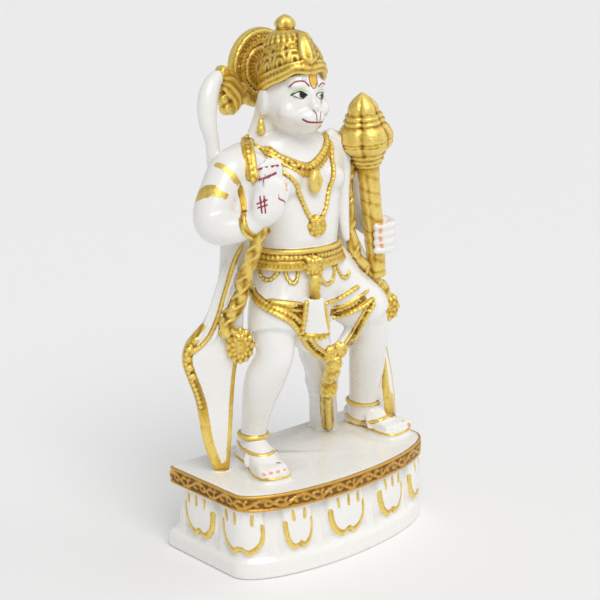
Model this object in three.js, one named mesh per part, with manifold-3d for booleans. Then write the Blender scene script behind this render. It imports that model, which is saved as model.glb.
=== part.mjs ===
// A standing Hanuman figure cast in one piece with its lotus plinth, in marble dust and resin.
// Millimetres, +Z up, the figure faces -Y. The origin is the middle of the plinth's underside.
import * as THREE from "three";
import { mergeVertices } from "three/addons/utils/BufferGeometryUtils.js";
import Module from "manifold-3d";

const wasm = await Module();
wasm.setup();

// The plinth: a flat back, straight sides and a bowed front.
const PLINTH_WIDTH = 125;
const PLINTH_SIDE_DEPTH = 50;
const PLINTH_BOW_DEPTH = 22;
const PLINTH_CORNER = 2.6;
const SLAB_HEIGHT = 9.5;
const CUSHION_HEIGHT = 24;
const BAND_HEIGHT = 8.5;
const CUSHION_INSET = 4;
const BAND_INSET = 1.5;
const PLINTH_HEIGHT = SLAB_HEIGHT + CUSHION_HEIGHT + BAND_HEIGHT;
const PETAL_PROUD = 1.9;
// Each petal's middle, measured along the cushion from the front's middle, and its width.
const PETALS = [
  [-90, 25],
  [-62, 25],
  [-34.5, 17.5],
  [-6, 26],
  [25.5, 22],
  [51, 20],
  [79, 24],
];

// The figure keeps its pose and proportions as shares of its own height, on a grid 214 units tall.
const FIGURE_HEIGHT = 214;
const GRID_HEIGHT = 214;
const UNIT = FIGURE_HEIGHT / GRID_HEIGHT;
const SINK = 0.6; // how far feet and supports run down into the plinth's top

// Relief that is laid on the body as cords and bands.
const CORD = 1.35;
const SOLE_THICKNESS = 3.2;

const degrees = (d) => (d * Math.PI) / 180;

// A point of the figure's grid, above the middle of the plinth's top.
const at = ([x, y, z]) =>
  new THREE.Vector3(x * UNIT, y * UNIT, z * UNIT + PLINTH_HEIGHT);

// A closed mesh as a solid: shared vertices merged, collapsed triangles dropped, faces turned outwards.
function solid(geometry) {
  const bare = geometry.index ? geometry.toNonIndexed() : geometry.clone();
  for (const name of Object.keys(bare.attributes)) {
    if (name !== "position") bare.deleteAttribute(name);
  }
  const merged = mergeVertices(bare, 1e-4);
  const from = merged.index.array;
  const spot = merged.attributes.position;
  const corner = (i) => new THREE.Vector3().fromBufferAttribute(spot, i);
  const kept = [];
  let volume = 0;
  for (let i = 0; i < from.length; i += 3) {
    const [a, b, c] = [from[i], from[i + 1], from[i + 2]];
    if (a === b || b === c || c === a) continue;
    kept.push(a, b, c);
    volume += corner(a).dot(corner(b).cross(corner(c)));
  }
  const triVerts = new Uint32Array(kept);
  if (volume < 0) triVerts.reverse();
  return new wasm.Manifold(
    new wasm.Mesh({ numProp: 3, vertProperties: spot.array, triVerts }),
  );
}

const join = (solids) => solids.reduce((all, next) => all.add(next));

// A skin over rings of points, each end closed by a fan to its own tip.
function skin(rings, firstTip, lastTip) {
  const count = rings[0].length;
  const positions = [...rings.flat(), firstTip, lastTip].flatMap((p) => [
    p.x,
    p.y,
    p.z,
  ]);
  const first = rings.length * count;
  const index = [];
  for (let side = 0; side < count; side++) {
    const next = (side + 1) % count;
    for (let ring = 0; ring + 1 < rings.length; ring++) {
      const low = ring * count;
      const high = low + count;
      index.push(low + side, low + next, high + next);
      index.push(low + side, high + next, high + side);
    }
    index.push(first, next, side);
    const top = (rings.length - 1) * count;
    index.push(first + 1, top + side, top + next);
  }
  const geometry = new THREE.BufferGeometry();
  geometry.setAttribute(
    "position",
    new THREE.Float32BufferAttribute(positions, 3),
  );
  geometry.setIndex(index);
  return solid(geometry);
}

// A limb: an oval section that runs through stations [x, y, z, half width, half depth] of the grid.
// The half depth lies along `facing`; an end that shows is domed by `dome` times its half depth.
function limb(
  stations,
  { sides = 8, steps = 1, facing = [0, 1, 0], dome = 0, waves = 0 } = {},
) {
  const spine = new THREE.CatmullRomCurve3(
    stations.map((s) => at(s)),
    false,
    "catmullrom",
  );
  const girth = new THREE.CatmullRomCurve3(
    stations.map(
      (s) => new THREE.Vector3(s[3] * UNIT, (s[4] ?? s[3]) * UNIT, 0),
    ),
    false,
    "catmullrom",
  );
  const front = new THREE.Vector3(...facing);
  const last = (stations.length - 1) * steps;
  const section = (t, shrink, shift) => {
    const along = spine.getTangent(t);
    const depth = front.clone().addScaledVector(along, -front.dot(along));
    depth.normalize();
    const width = new THREE.Vector3().crossVectors(depth, along).normalize();
    const size = girth.getPoint(t);
    const swell = 1 + 0.14 * Math.cos(waves * 2 * Math.PI * t) * (waves > 0);
    const centre = spine.getPoint(t).addScaledVector(along, shift * size.y);
    return Array.from({ length: sides }, (_, i) => {
      const angle = (2 * Math.PI * i) / sides;
      return centre
        .clone()
        .addScaledVector(width, size.x * shrink * swell * Math.cos(angle))
        .addScaledVector(depth, size.y * shrink * swell * Math.sin(angle));
    });
  };
  const rings = [];
  if (dome > 0) rings.push(section(0, 0.72, -0.68 * dome));
  for (let i = 0; i <= last; i++) rings.push(section(i / last, 1, 0));
  if (dome > 0) rings.push(section(1, 0.72, 0.68 * dome));
  const tip = (t, sign) =>
    spine
      .getPoint(t)
      .addScaledVector(spine.getTangent(t), sign * dome * girth.getPoint(t).y);
  return skin(rings, tip(0, -1), tip(1, 1));
}

// An egg-shaped lump, turned about Z and then X.
function lump(centre, radii, { turn = 0, nod = 0, sides = 8, rows = 5 } = {}) {
  const ball = new THREE.SphereGeometry(1, sides, rows);
  ball.rotateX(Math.PI / 2);
  ball.scale(...radii.map((r) => r * UNIT));
  ball.rotateX(degrees(nod));
  ball.rotateZ(degrees(turn));
  const spot = at(centre);
  return solid(ball.translate(spot.x, spot.y, spot.z));
}

// A turned form: [radius, distance along the axis] pairs, spun about a line from `foot` towards `head`.
function turned(profile, foot, head, sides) {
  const points = profile.map(([r, h]) => new THREE.Vector2(r * UNIT, h * UNIT));
  const spun = new THREE.LatheGeometry(points, sides);
  const axis = at(head).sub(at(foot)).normalize();
  spun.applyQuaternion(
    new THREE.Quaternion().setFromUnitVectors(
      new THREE.Vector3(0, 1, 0),
      axis,
    ),
  );
  const spot = at(foot);
  return solid(spun.translate(spot.x, spot.y, spot.z));
}

// The plinth's outline, drawn in by `inset`, from the back left corner round the front.
function plinthOutline(inset, corner = PLINTH_CORNER) {
  const half = PLINTH_WIDTH / 2 - inset;
  const depth = PLINTH_SIDE_DEPTH + PLINTH_BOW_DEPTH;
  const back = depth / 2 - inset;
  const joint = depth / 2 - PLINTH_SIDE_DEPTH;
  const bow = PLINTH_BOW_DEPTH - inset;
  const points = [];
  const quarter = (side) => {
    for (let i = 0; i <= 2; i++) {
      const angle = ((side < 0 ? i : 2 - i) * Math.PI) / 4;
      points.push([
        side * (half - corner + corner * Math.sin(angle)),
        back - corner + corner * Math.cos(angle),
      ]);
    }
  };
  quarter(-1);
  const bowSteps = 14;
  for (let i = 0; i <= bowSteps; i++) {
    const angle = (Math.PI * i) / bowSteps;
    points.push([-half * Math.cos(angle), joint - bow * Math.sin(angle)]);
  }
  quarter(1);
  return points;
}

// A point of the cushion's front and the way it faces, `along` mm from the front's middle.
function plinthFront(along, inset) {
  const points = plinthOutline(inset).slice(2, -2);
  const path = new THREE.CurvePath();
  for (let i = 0; i + 1 < points.length; i++) {
    path.add(
      new THREE.LineCurve(
        new THREE.Vector2(...points[i]),
        new THREE.Vector2(...points[i + 1]),
      ),
    );
  }
  const share = 0.5 + along / path.getLength();
  const spot = path.getPoint(share);
  const ahead = path.getPoint(share + 0.01).sub(path.getPoint(share - 0.01));
  return { spot, facing: Math.atan2(ahead.y, ahead.x) };
}

function plinth() {
  const bandFoot = SLAB_HEIGHT + CUSHION_HEIGHT;
  const levels = [
    [0, 0.8],
    [0.8, 0],
    [SLAB_HEIGHT - 1.6, 0],
    [SLAB_HEIGHT, 2.2],
    [SLAB_HEIGHT + CUSHION_HEIGHT * 0.3, CUSHION_INSET - 1],
    [bandFoot - 0.4, CUSHION_INSET + 2],
    [bandFoot, BAND_INSET + 0.8],
    [bandFoot + 1, BAND_INSET],
    [PLINTH_HEIGHT - 1, BAND_INSET],
    [PLINTH_HEIGHT, BAND_INSET + 0.8],
  ];
  const rings = levels.map(([z, inset]) =>
    plinthOutline(inset).map(([x, y]) => new THREE.Vector3(x, y, z)),
  );
  const tip = (z) => new THREE.Vector3(0, 0, z);
  return skin(rings, tip(0), tip(PLINTH_HEIGHT));
}

// One drooping lotus petal: a broad pad that bulges from the cushion.
function petal([along, width]) {
  const { spot, facing } = plinthFront(along, CUSHION_INSET);
  const pad = new THREE.SphereGeometry(1, 10, 5);
  pad.scale(width * 0.5, PETAL_PROUD * 2, CUSHION_HEIGHT * 0.44);
  pad.rotateZ(facing);
  pad.translate(spot.x, spot.y, SLAB_HEIGHT + CUSHION_HEIGHT * 0.52);
  return solid(pad);
}

// A sandalled foot on its sole, from the heel towards the toes.
function foot(heel, toe) {
  const [hx, hy] = heel;
  const [tx, ty] = toe;
  const long = Math.hypot(tx - hx, ty - hy);
  const turn = Math.atan2(ty - hy, tx - hx);
  const place = (u, v) => [
    hx + u * Math.cos(turn) - v * Math.sin(turn),
    hy + u * Math.sin(turn) + v * Math.cos(turn),
  ];
  const halfWidths = [
    [-0.16, 3],
    [-0.06, 6.8],
    [0.45, 7.2],
    [0.8, 9.2],
    [1.05, 8.6],
    [1.16, 3],
  ];
  const rim = [
    ...halfWidths.map(([u, w]) => place(u * long, w)),
    ...halfWidths.toReversed().map(([u, w]) => place(u * long, -w)),
  ];
  const level = (z) => rim.map(([x, y]) => at([x, y, z]));
  const sole = skin(
    [level(-SINK), level(SOLE_THICKNESS)],
    at([...place(long / 2, 0), -SINK]),
    at([...place(long / 2, 0), SOLE_THICKNESS]),
  );
  const stations = [
    [-0.08, 6, 5, 5],
    [0.2, 8.5, 6.3, 7],
    [0.5, 7.2, 6.6, 5.6],
    [0.8, 5.2, 7.8, 3.8],
    [1.05, 4.4, 6.8, 2.4],
  ].map(([u, z, w, h]) => [...place(u * long, 0), z, w, h]);
  return [
    sole,
    limb(stations, { facing: [0, 0, 1], dome: 0.8 }),
  ];
}

const RIGHT_HEEL = [-26, 17];
const RIGHT_TOE = [-36.5, -14];
const LEFT_HEEL = [46.5, 15];
const LEFT_TOE = [50, -12];

function legs() {
  const right = [
    [-16, 0, 88, 14, 15],
    [-26, -4, 72, 10.8, 11.6],
    [-30, -8, 59, 8.8, 9],
    [-31.5, -3, 47, 9.6, 9.4],
    [-31, 2, 36, 8.2, 8.4],
    [-29, 7, 24, 6.6, 7],
    [-28, 10, 14, 6, 6.4],
    [-28, 11, 5, 7, 8],
  ];
  const left = [
    [6, 0, 88, 14, 15],
    [25, -8, 72, 11.6, 11.6],
    [31.5, -9, 61, 9.6, 9.6],
    [34, -6, 50, 9.4, 9.4],
    [38.5, -1, 38, 9, 9],
    [42.5, 4, 26, 8, 8.2],
    [45.5, 8, 14, 7.2, 7.4],
    [46.3, 9, 5, 7, 8],
  ];
  return [
    limb(right, { sides: 9 }),
    limb(left, { sides: 9 }),
    ...foot(RIGHT_HEEL, RIGHT_TOE),
    ...foot(LEFT_HEEL, LEFT_TOE),
  ];
}

// The figure is turned a little towards its own right: this is its front's direction, reversed.
const BODY_FACING = [0.14, 0.99, 0];

function torso() {
  const stations = [
    [-5, 0, 72, 19, 13],
    [-7, 0, 86, 26.5, 17],
    [-8.5, -1, 96, 24.5, 16.5],
    [-10, -2, 106, 20.5, 15],
    [-10.5, -2, 116, 21, 15.5],
    [-10.5, -1, 128, 24.5, 16],
    [-10, 1, 139, 28, 16],
    [-9.5, 2, 148, 29, 13.5],
    [-9.5, 3, 156, 22, 10],
    [-9.5, 3, 162, 11.5, 9],
    [-10.5, 1, 172, 9, 9],
  ];
  return [
    limb(stations, { sides: 12, facing: BODY_FACING }),
    lump([-22.5, -9, 139.5], [10.5, 7, 8.5], { turn: 14, sides: 8, rows: 5 }),
    lump([-0.5, -10.5, 139.5], [10.5, 7, 8.5], { turn: -20, sides: 8, rows: 5 }),
  ];
}

// The short wrapped cloth over hips and thighs, and the pleated end that props the figure from behind.
function loincloth() {
  const right = [
    [-14, 0, 92, 17, 16.5],
    [-23, -3, 78, 14, 15],
    [-27, -5, 70, 12, 13],
  ];
  const left = [
    [5, 0, 92, 17, 16.5],
    [16, -5, 80, 14, 14],
    [26, -9, 72, 12.6, 12.6],
  ];
  const prop = [
    [5, 3, 76, 9, 7],
    [8, 6, 60, 8.4, 7.4],
    [12.5, 9, 48, 8.6, 7.8],
    [20, 13.5, 35, 7.6, 8],
    [24, 16.5, 29, 8.2, 8.4],
    [28, 20, 18, 6.8, 7.4],
    [33, 24.5, -0.6, 7, 8],
  ];
  return [
    limb(right, { sides: 9 }),
    limb(left, { sides: 9 }),
    limb(prop, { sides: 8 }),
  ];
}

function cord(points, thick = CORD, { steps = 2, waves = 0, flat = 1 } = {}) {
  const stations = points.map((p) => [...p, thick, thick * flat]);
  return limb(stations, { sides: 4, steps, waves, facing: [0.2, 0.9, 0.1] });
}

// Belt, front panel and the hems that meet in the knot between the thighs.
function girdle() {
  const belt = [
    [-9.3, -1.7, 100.5, 22.6, 16.6],
    [-9.6, -1.9, 102, 23.4, 17.4],
    [-10, -2.1, 107, 22.2, 16.6],
    [-10, -2.1, 108.5, 20.8, 15.4],
  ];
  const hem = [
    [-34, 5, 88],
    [-34.5, -4, 84],
    [-32, -13, 79.5],
    [-27, -16.6, 76],
    [-21, -16.6, 69],
    [-13.5, -14.4, 60],
    [-4, -12, 55],
    [4, -10.5, 52.5],
  ];
  return [
    limb(belt, { sides: 12, facing: BODY_FACING }),
    lump([-13.6, -19.4, 101.5], [5.6, 3, 5.8], { turn: -8 }),
    lump([-13.6, -20, 94.6], [3.2, 2.4, 2.8], { sides: 6, rows: 4 }),
    limb(
      [
        [-14, -20, 95, 2.7, 1.8],
        [-14.2, -20.4, 90, 2.6, 1.8],
        [-14.6, -20.6, 85, 2.9, 1.8],
      ],
      { sides: 5 },
    ),
    limb(
      [
        [-14.6, -20.4, 86, 5, 2.4],
        [-14.4, -20.2, 79, 6, 2.6],
        [-14, -19.6, 72, 7.6, 2.8],
        [-14, -19.4, 69.5, 7.8, 2.6],
      ],
      { sides: 6, dome: 0.3 },
    ),
    cord(hem, 1.9, { steps: 1 }),
    cord(
      [
        [37, -8, 76],
        [30, -14, 72],
        [21, -13.4, 65],
        [15, -12, 57],
        [9, -11, 53],
      ],
      1.6,
      { steps: 1 },
    ),
    limb(
      [
        [-20, -11, 74, 9, 5],
        [-8, -9.5, 64, 8.5, 4.5],
        [2, -8.5, 55, 4.4, 3.5],
      ],
      { sides: 8 },
    ),
    limb(
      [
        [24, -9, 70, 6.5, 4],
        [18.4, -9.4, 61, 4, 3],
        [12, -9, 55, 3, 2.6],
      ],
      { sides: 8 },
    ),
    lump([5.6, -10.4, 53.6], [8.2, 4.4, 5.4], { turn: 20 }),
    lump([7, -9.8, 48], [4.6, 3.8, 4.2], { sides: 7 }),
    limb(
      [
        [8, -7, 45, 2.8, 3],
        [11.5, -2, 38, 3.6, 3.2],
        [14.6, 2.6, 33.4, 2.8, 3],
        [18, 6.4, 27.4, 4.2, 3.4],
        [21.6, 10.6, 21.4, 3, 3],
        [26, 14.6, 11, 3.2, 3.2],
        [30.6, 18.6, 1, 3, 3],
      ],
      { sides: 8 },
    ),
  ];
}

function rightArm() {
  const arm = [
    [-36, 4, 149, 10, 10],
    [-46, 3, 145, 10.6, 10.8],
    [-53, 2, 137, 9.8, 10],
    [-58, 1, 129, 9.4, 9.6],
    [-60.5, -2, 124.4, 8.4, 8.6],
    [-58.5, -8, 123.4, 7.4, 7.6],
    [-53.5, -14, 125, 6.2, 6.2],
    [-50, -18, 127.5, 5.2, 5.2],
  ];
  const palm = [
    [-48.4, -20.4, 128.6, 5.6, 4],
    [-46.4, -22.6, 134, 7.8, 4],
    [-45.4, -23, 141, 7.4, 3.4],
    [-45.2, -22.6, 144.4, 7, 3],
  ];
  const finger = (i) => [
    [-50.4 + i * 3.45, -22.6 + i * 0.2, 143, 1.8, 2],
    [-49.8 + i * 3.35, -22.6 + i * 0.2, 149, 1.7, 1.9],
    [-49.4 + i * 3.25, -21.8 + i * 0.2, 154 - 1.6 * (i === 0), 1.4, 1.5],
  ];
  const thumb = [
    [-42, -21, 131, 2.8, 2.8],
    [-37.6, -22.4, 136, 2.4, 2.4],
    [-35.8, -22.4, 140.6, 1.8, 1.8],
  ];
  return [
    limb(arm, { sides: 9, facing: [-0.6, -0.28, 0.65] }),
    limb(palm, { sides: 7, facing: [0.35, 0.94, 0] }),
    ...[0, 1, 2, 3].map((i) => limb(finger(i), { sides: 5, dome: 0.8 })),
    limb(thumb, { sides: 5, dome: 0.8 }),
  ];
}

function leftArm() {
  const arm = [
    [16, 4, 149, 10, 10],
    [25, 5, 145.5, 10, 10],
    [32, 8, 136, 8.8, 9.2],
    [37, 10.6, 124, 8, 8.2],
    [40, 9, 115.6, 7.4, 7.4],
    [41.5, 2.4, 110, 6.2, 6.2],
    [41.6, -4, 107.6, 5.6, 5.6],
  ];
  const finger = (i) => [
    [44, -7, 113 - i * 3.9, 2.1, 2],
    [41.4, -14.6, 112.6 - i * 3.9, 2.1, 2],
    [35.4, -16.8, 112.2 - i * 3.9, 2, 1.9],
    [30.4, -14.4, 112 - i * 3.9, 1.7, 1.7],
  ];
  return [
    limb(arm, { facing: [-0.8, 0.2, -0.5] }),
    lump([41, -7.6, 107], [6.4, 6, 8.2]),
    ...[0, 1, 2, 3].map((i) =>
      limb(finger(i), { sides: 5, facing: [0, 0, 1] }),
    ),
  ];
}

const MACE_FOOT = [37.2, -9, 85.4];
const MACE_TIP = [21.5, -12, 178];

function mace() {
  const profile = [
    [0, 0],
    [3.8, 0.4],
    [4.6, 2.2],
    [4.1, 4],
    [4.6, 6],
    [5.2, 50],
    [5.9, 58],
    [7.8, 60],
    [7.2, 62],
    [9.2, 64],
    [11.4, 67],
    [12.3, 71],
    [11.8, 74.4],
    [8.5, 78.8],
    [9, 80.6],
    [7.4, 82.8],
    [6.4, 87],
    [4, 90.4],
    [0, 94],
  ];
  return [turned(profile, MACE_FOOT, MACE_TIP, 10)];
}

// The shawl: its edges down both sides, the hanging ends with their tassels, and the back.
function shawl() {
  const back = [
    [-9, 13, 90, 26, 5],
    [-9, 14, 118, 28, 5],
    [-9, 13, 134, 33, 6],
    [-9, 11, 144, 38, 7],
    [-9, 8, 152, 33, 7],
  ];
  const rightEnd = [
    [-38, 7, 124, 8, 4],
    [-40, 6.5, 113, 7.6, 3.6],
    [-43, 7.4, 92, 6.6, 3],
    [-46.5, 9, 74, 9.6, 2.8],
    [-52.4, 11, 61, 14, 2.6],
    [-53, 11.4, 56, 13.6, 2.6],
    [-50.6, 11.6, 38, 9.4, 2.6],
    [-49.6, 11.4, 18, 7.2, 2.4],
    [-47, 12, 3, 4.4, 2.2],
    [-46.6, 12, -0.6, 3.4, 2],
  ];
  const leftEnd = [
    [26, 14, 120, 9, 4],
    [36, 13, 100, 9, 4],
    [44, 9, 82, 8, 4],
    [49, 6, 64, 6, 3.4],
    [51.6, 3.4, 46, 4.6, 3],
    [53, 0, 28, 5.4, 3],
    [54, -2, 10, 5.4, 2.8],
    [54, -2, 3, 4.6, 2.6],
  ];
  const across = [0.48, 0.87, 0];
  return [
    limb(back, { sides: 10, dome: 0.5 }),
    limb(rightEnd, { sides: 7, facing: across }),
    limb(leftEnd, { sides: 6, facing: [-0.3, 0.95, 0] }),
    limb(
      [
        [-28, -4, 159, 4, 3],
        [-36, -6, 156, 4.2, 3],
        [-40, -8.6, 147, 3.4, 3],
        [-41, -10, 136, 2.8, 2.8],
        [-40.6, -10.4, 122, 2.8, 3],
        [-40.6, -7, 112, 2.8, 3],
        [-41, -2.4, 102, 2.8, 3],
        [-41.4, 1.2, 92, 3, 3],
        [-43, 3.4, 83, 3.2, 3],
        [-47, 5.4, 77, 3.2, 3],
        [-49, 5, 70, 2.8, 2.8],
      ],
      { sides: 5 },
    ),
    limb(
      [
        [8, -4, 158, 4, 3],
        [15, -6, 153, 4, 3],
        [20, -6.4, 143, 3, 3],
        [20.4, -4.6, 131, 2.8, 3],
        [18.4, -6.6, 117, 2.8, 3],
        [20, -7, 105, 3, 3],
        [24, -8, 96, 3, 3],
        [31, -8, 89, 3, 3],
        [42, -6, 79.5, 3.4, 3.2],
        [47, -5, 73, 3.2, 3.2],
      ],
      { sides: 5 },
    ),
    lump([-43.4, 2.6, 64.4], [7.6, 3.8, 9], { turn: -28, sides: 9 }),
    lump([50, -2.6, 66.6], [7, 4.6, 8.4], { turn: 12, sides: 8 }),
    cord(
      [
        [-42, 5, 155],
        [-53.6, -2, 150],
        [-53.4, -8.6, 141],
        [-54, -13.4, 130],
      ],
      1.5,
    ),
  ];
}

function tail() {
  const stations = [
    [-14, 15, 92, 6.4, 5.6],
    [-30, 17, 110, 6, 5],
    [-42, 16, 132, 4.6, 4.4],
    [-45.4, 15.4, 150, 3.5, 3.5],
    [-46, 16, 158, 3.3, 3.3],
    [-47.4, 17, 167, 4.3, 4],
    [-46.8, 18, 175, 4.9, 4.4],
    [-43.8, 19, 182, 4.5, 4.2],
    [-39, 20, 187, 3.2, 3.2],
  ];
  const tuft = [
    [-38, 20, 187, 3, 3.4],
    [-33.5, 20.4, 184, 5.4, 4],
    [-30, 20.6, 178.6, 6.4, 4.4],
    [-29, 20.6, 173.4, 5.2, 3.8],
    [-30, 20.6, 169.6, 2.4, 2.2],
  ];
  return [
    limb(stations),
    limb(tuft, { sides: 7, dome: 0.5 }),
  ];
}

const HEAD_CENTRE = [-11, 0, 175];
const HEAD_TURN = -8;

// A point of the head: sideways to the figure's left, forwards and up from the head's middle.
function onHead(side, ahead, up) {
  const angle = degrees(HEAD_TURN);
  return [
    HEAD_CENTRE[0] + side * Math.cos(angle) + ahead * Math.sin(angle),
    HEAD_CENTRE[1] + side * Math.sin(angle) - ahead * Math.cos(angle),
    HEAD_CENTRE[2] + up,
  ];
}

function head() {
  const turn = HEAD_TURN;
  const ear = (side) => [
    lump(onHead(side * 14.6, -2.5, 1.5), [2, 4, 5.4], {
      turn: turn - side * 12,
      sides: 6,
    }),
    lump(onHead(side * 15.4, -2.6, -9.4), [2, 2, 5.4], { sides: 6 }),
  ];
  const hair = [
    [-10.5, 7, 180, 13, 9],
    [-10, 9, 168, 15, 9.5],
    [-10, 10, 158, 20, 8],
    [-10, 11, 148, 24, 7],
  ];
  return [
    lump(onHead(0, 0, 1), [14.4, 15.6, 15.5], { turn, sides: 12, rows: 8 }),
    lump(onHead(0, 3.4, -7), [11.4, 12, 7.6], { turn, sides: 10 }),
    lump(onHead(0, 12.4, -5.4), [8.2, 7.8, 5.4], { turn, sides: 10, rows: 6 }),
    lump(onHead(0, 19, -1.6), [2.4, 2.2, 2], { turn, sides: 7 }),
    lump(onHead(0, 14, 5), [9.4, 2.6, 5], { turn, sides: 8 }),
    ...ear(-1),
    ...ear(1),
    limb(hair),
  ];
}

// The tiered crown leans back: [up the head, ahead, half width, half depth, tilt in degrees].
function crown() {
  const tiers = [
    [8, 0, 15.4, 17.2, 25],
    [11, -0.4, 15, 16.6, 24],
    [15.6, -1.4, 13.2, 14.4, 22],
    [20.6, -2.6, 11.6, 12.2, 20],
    [25.4, -3.8, 9.8, 10.2, 16],
    [26.8, -4, 10.4, 10.8, 14],
    [29.4, -4.4, 9.8, 10, 10],
    [31.4, -4.8, 6.6, 6.8, 6],
    [32.4, -5, 4.2, 4.2, 0],
    [34, -5, 5.4, 5.4, 0],
    [36.2, -5, 4.4, 4.4, 0],
    [37.8, -5, 2.2, 2.2, 0],
  ];
  const sides = 12;
  const rings = tiers.map(([up, ahead, width, depth, tilt]) =>
    Array.from({ length: sides }, (_, i) => {
      const angle = (2 * Math.PI * i) / sides;
      const forward = depth * Math.cos(angle);
      const lift = forward * Math.sin(degrees(tilt));
      return at(
        onHead(
          width * Math.sin(angle),
          ahead + forward * Math.cos(degrees(tilt)),
          up + lift,
        ),
      );
    }),
  );
  const leaf = [
    [...onHead(0, 14, 18), 3.4, 1.6],
    [...onHead(0, 10.6, 25), 3.8, 1.8],
    [...onHead(0, 6, 31.4), 2, 1.4],
  ];
  return [
    skin(rings, at(onHead(0, -2, 6)), at(onHead(0, -5, 39))),
    limb(leaf, { sides: 5 }),
  ];
}

function halo() {
  const profile = [
    [0, 0],
    [17.6, 0],
    [18.6, 1.4],
    [18.6, 3.8],
    [17, 5.2],
    [14.6, 3.8],
    [12.4, 5],
    [10.4, 4],
    [0, 4],
  ];
  return [turned(profile, [-10.5, 26, 188.4], [-10.5, 0, 188.4], 16)];
}

function necklaces() {
  const collar = [
    [-30, -4, 158],
    [-26, -10, 153],
    [-20, -14, 149],
    [-13, -15.6, 146.4],
    [-5, -13.6, 149.6],
    [2, -9, 154],
    [6, -4, 159],
  ];
  const long = [
    [-32, -6, 152],
    [-28, -13, 146],
    [-22, -17, 139],
    [-18, -17.6, 128],
    [-13, -17.6, 121],
    [-7, -17.6, 126],
    [-2.4, -17.4, 137],
    [1.6, -13.4, 147],
    [5, -8, 154],
  ];
  return [
    cord(collar, 2.3, { flat: 0.6, steps: 1 }),
    cord(long, 1.5, { steps: 1 }),
    lump([-13, -16, 140.6], [3.8, 2.6, 5.6], { sides: 7 }),
    lump([-12.8, -18.2, 119.6], [5, 2.6, 5.2], { sides: 8, rows: 6 }),
  ];
}

const figure = join([
  plinth(),
  ...PETALS.map(petal),
  ...torso(),
  ...legs(),
  ...loincloth(),
  ...girdle(),
  ...rightArm(),
  ...leftArm(),
  ...mace(),
  ...shawl(),
  ...tail(),
  ...head(),
  ...crown(),
  ...halo(),
  ...necklaces(),
]);

function geometryOf(body) {
  const { numProp, vertProperties, triVerts } = body.getMesh();
  const positions = [];
  for (let i = 0; i < vertProperties.length; i += numProp) {
    positions.push(...vertProperties.subarray(i, i + 3));
  }
  const geometry = new THREE.BufferGeometry();
  geometry.setAttribute(
    "position",
    new THREE.Float32BufferAttribute(positions, 3),
  );
  geometry.setIndex(Array.from(triVerts));
  return geometry;
}

const mesh = new THREE.Mesh(
  geometryOf(figure),
  new THREE.MeshStandardMaterial({
    color: 0xf1efe8,
    roughness: 0.35,
    metalness: 0,
  }),
);
mesh.name = "hanuman_figure";
const group = new THREE.Group();
group.add(mesh);

export default group;
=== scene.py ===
import math

import bmesh
import bpy
import numpy as np
from mathutils import Matrix, Vector
from mathutils.bvhtree import BVHTree
from mathutils.kdtree import KDTree


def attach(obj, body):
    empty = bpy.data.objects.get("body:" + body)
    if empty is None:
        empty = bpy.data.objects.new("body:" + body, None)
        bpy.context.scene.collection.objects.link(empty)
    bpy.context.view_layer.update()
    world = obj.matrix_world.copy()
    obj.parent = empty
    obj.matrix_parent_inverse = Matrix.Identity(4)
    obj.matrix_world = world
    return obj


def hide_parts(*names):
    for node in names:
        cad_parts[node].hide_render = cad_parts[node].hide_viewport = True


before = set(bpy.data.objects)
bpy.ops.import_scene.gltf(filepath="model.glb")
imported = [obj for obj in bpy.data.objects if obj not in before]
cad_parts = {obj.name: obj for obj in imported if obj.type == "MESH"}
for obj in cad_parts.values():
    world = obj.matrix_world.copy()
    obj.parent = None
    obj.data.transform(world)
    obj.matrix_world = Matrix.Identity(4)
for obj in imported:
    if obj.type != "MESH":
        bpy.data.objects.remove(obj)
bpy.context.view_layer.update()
scene = bpy.context.scene
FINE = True

# The camera at the photograph's place, to the figure's right front and a little above.
# A plain pale floor under plain soft studio light.
SIGHT = Vector((0.65602814, 0.7069705, -0.26423435))
cam = bpy.data.objects.new("Camera", bpy.data.cameras.new("Camera"))
scene.collection.objects.link(cam)
scene.camera = cam
cam.location = (-0.462545, -0.491539, 0.305314)
cam.rotation_mode = "QUATERNION"
cam.rotation_quaternion = SIGHT.to_track_quat("-Z", "Y")
cam.data.sensor_width = 36
cam.data.lens = 87.33
cam.data.clip_start = 0.01
cam.data.clip_end = 20

bpy.ops.mesh.primitive_plane_add(size=60)
floor = bpy.context.object
floor.name = "floor"
floor_look = bpy.data.materials.new("floor_look")
floor_look.use_nodes = True
floor_coat = floor_look.node_tree.nodes["Principled BSDF"].inputs
floor_coat["Base Color"].default_value = (0.93, 0.93, 0.93, 1)
floor_coat["Roughness"].default_value = 0.8
floor.data.materials.append(floor_look)

world = bpy.data.worlds.new("studio")
scene.world = world
world.use_nodes = True
sky = world.node_tree.nodes["Background"].inputs
sky["Color"].default_value = (1, 1, 1, 1)
sky["Strength"].default_value = 0.46
scene.view_settings.view_transform = "Standard"


def soft_sun(name, out_of, spread, power):
    light = bpy.data.lights.new(name, "SUN")
    light.angle = math.radians(spread)
    light.energy = power
    thing = bpy.data.objects.new(name, light)
    thing.rotation_mode = "QUATERNION"
    thing.rotation_quaternion = Vector(out_of).to_track_quat("Z", "Y")
    scene.collection.objects.link(thing)


soft_sun("key", (-0.45, -0.9, 1.25), 40, 1.55)
soft_sun("side", (1.0, -0.5, 0.7), 60, 0.45)

# The plinth: a plain slab, a bulging cushion and a flat top with an upright rim, cast with the figure.
# White paint, the rim in a darker gold. All forms up to the paint are worked in millimetres.
WIDTH = 125.0
SIDE_DEPTH = 50.0
BOW_DEPTH = 22.0
CORNER = 2.6
SLAB = 9.5
CUSHION = 24.0
BAND = 8.5
BAND_FOOT = SLAB + CUSHION
TOP = BAND_FOOT + BAND
white = []
gold = []
painted = []


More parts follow.
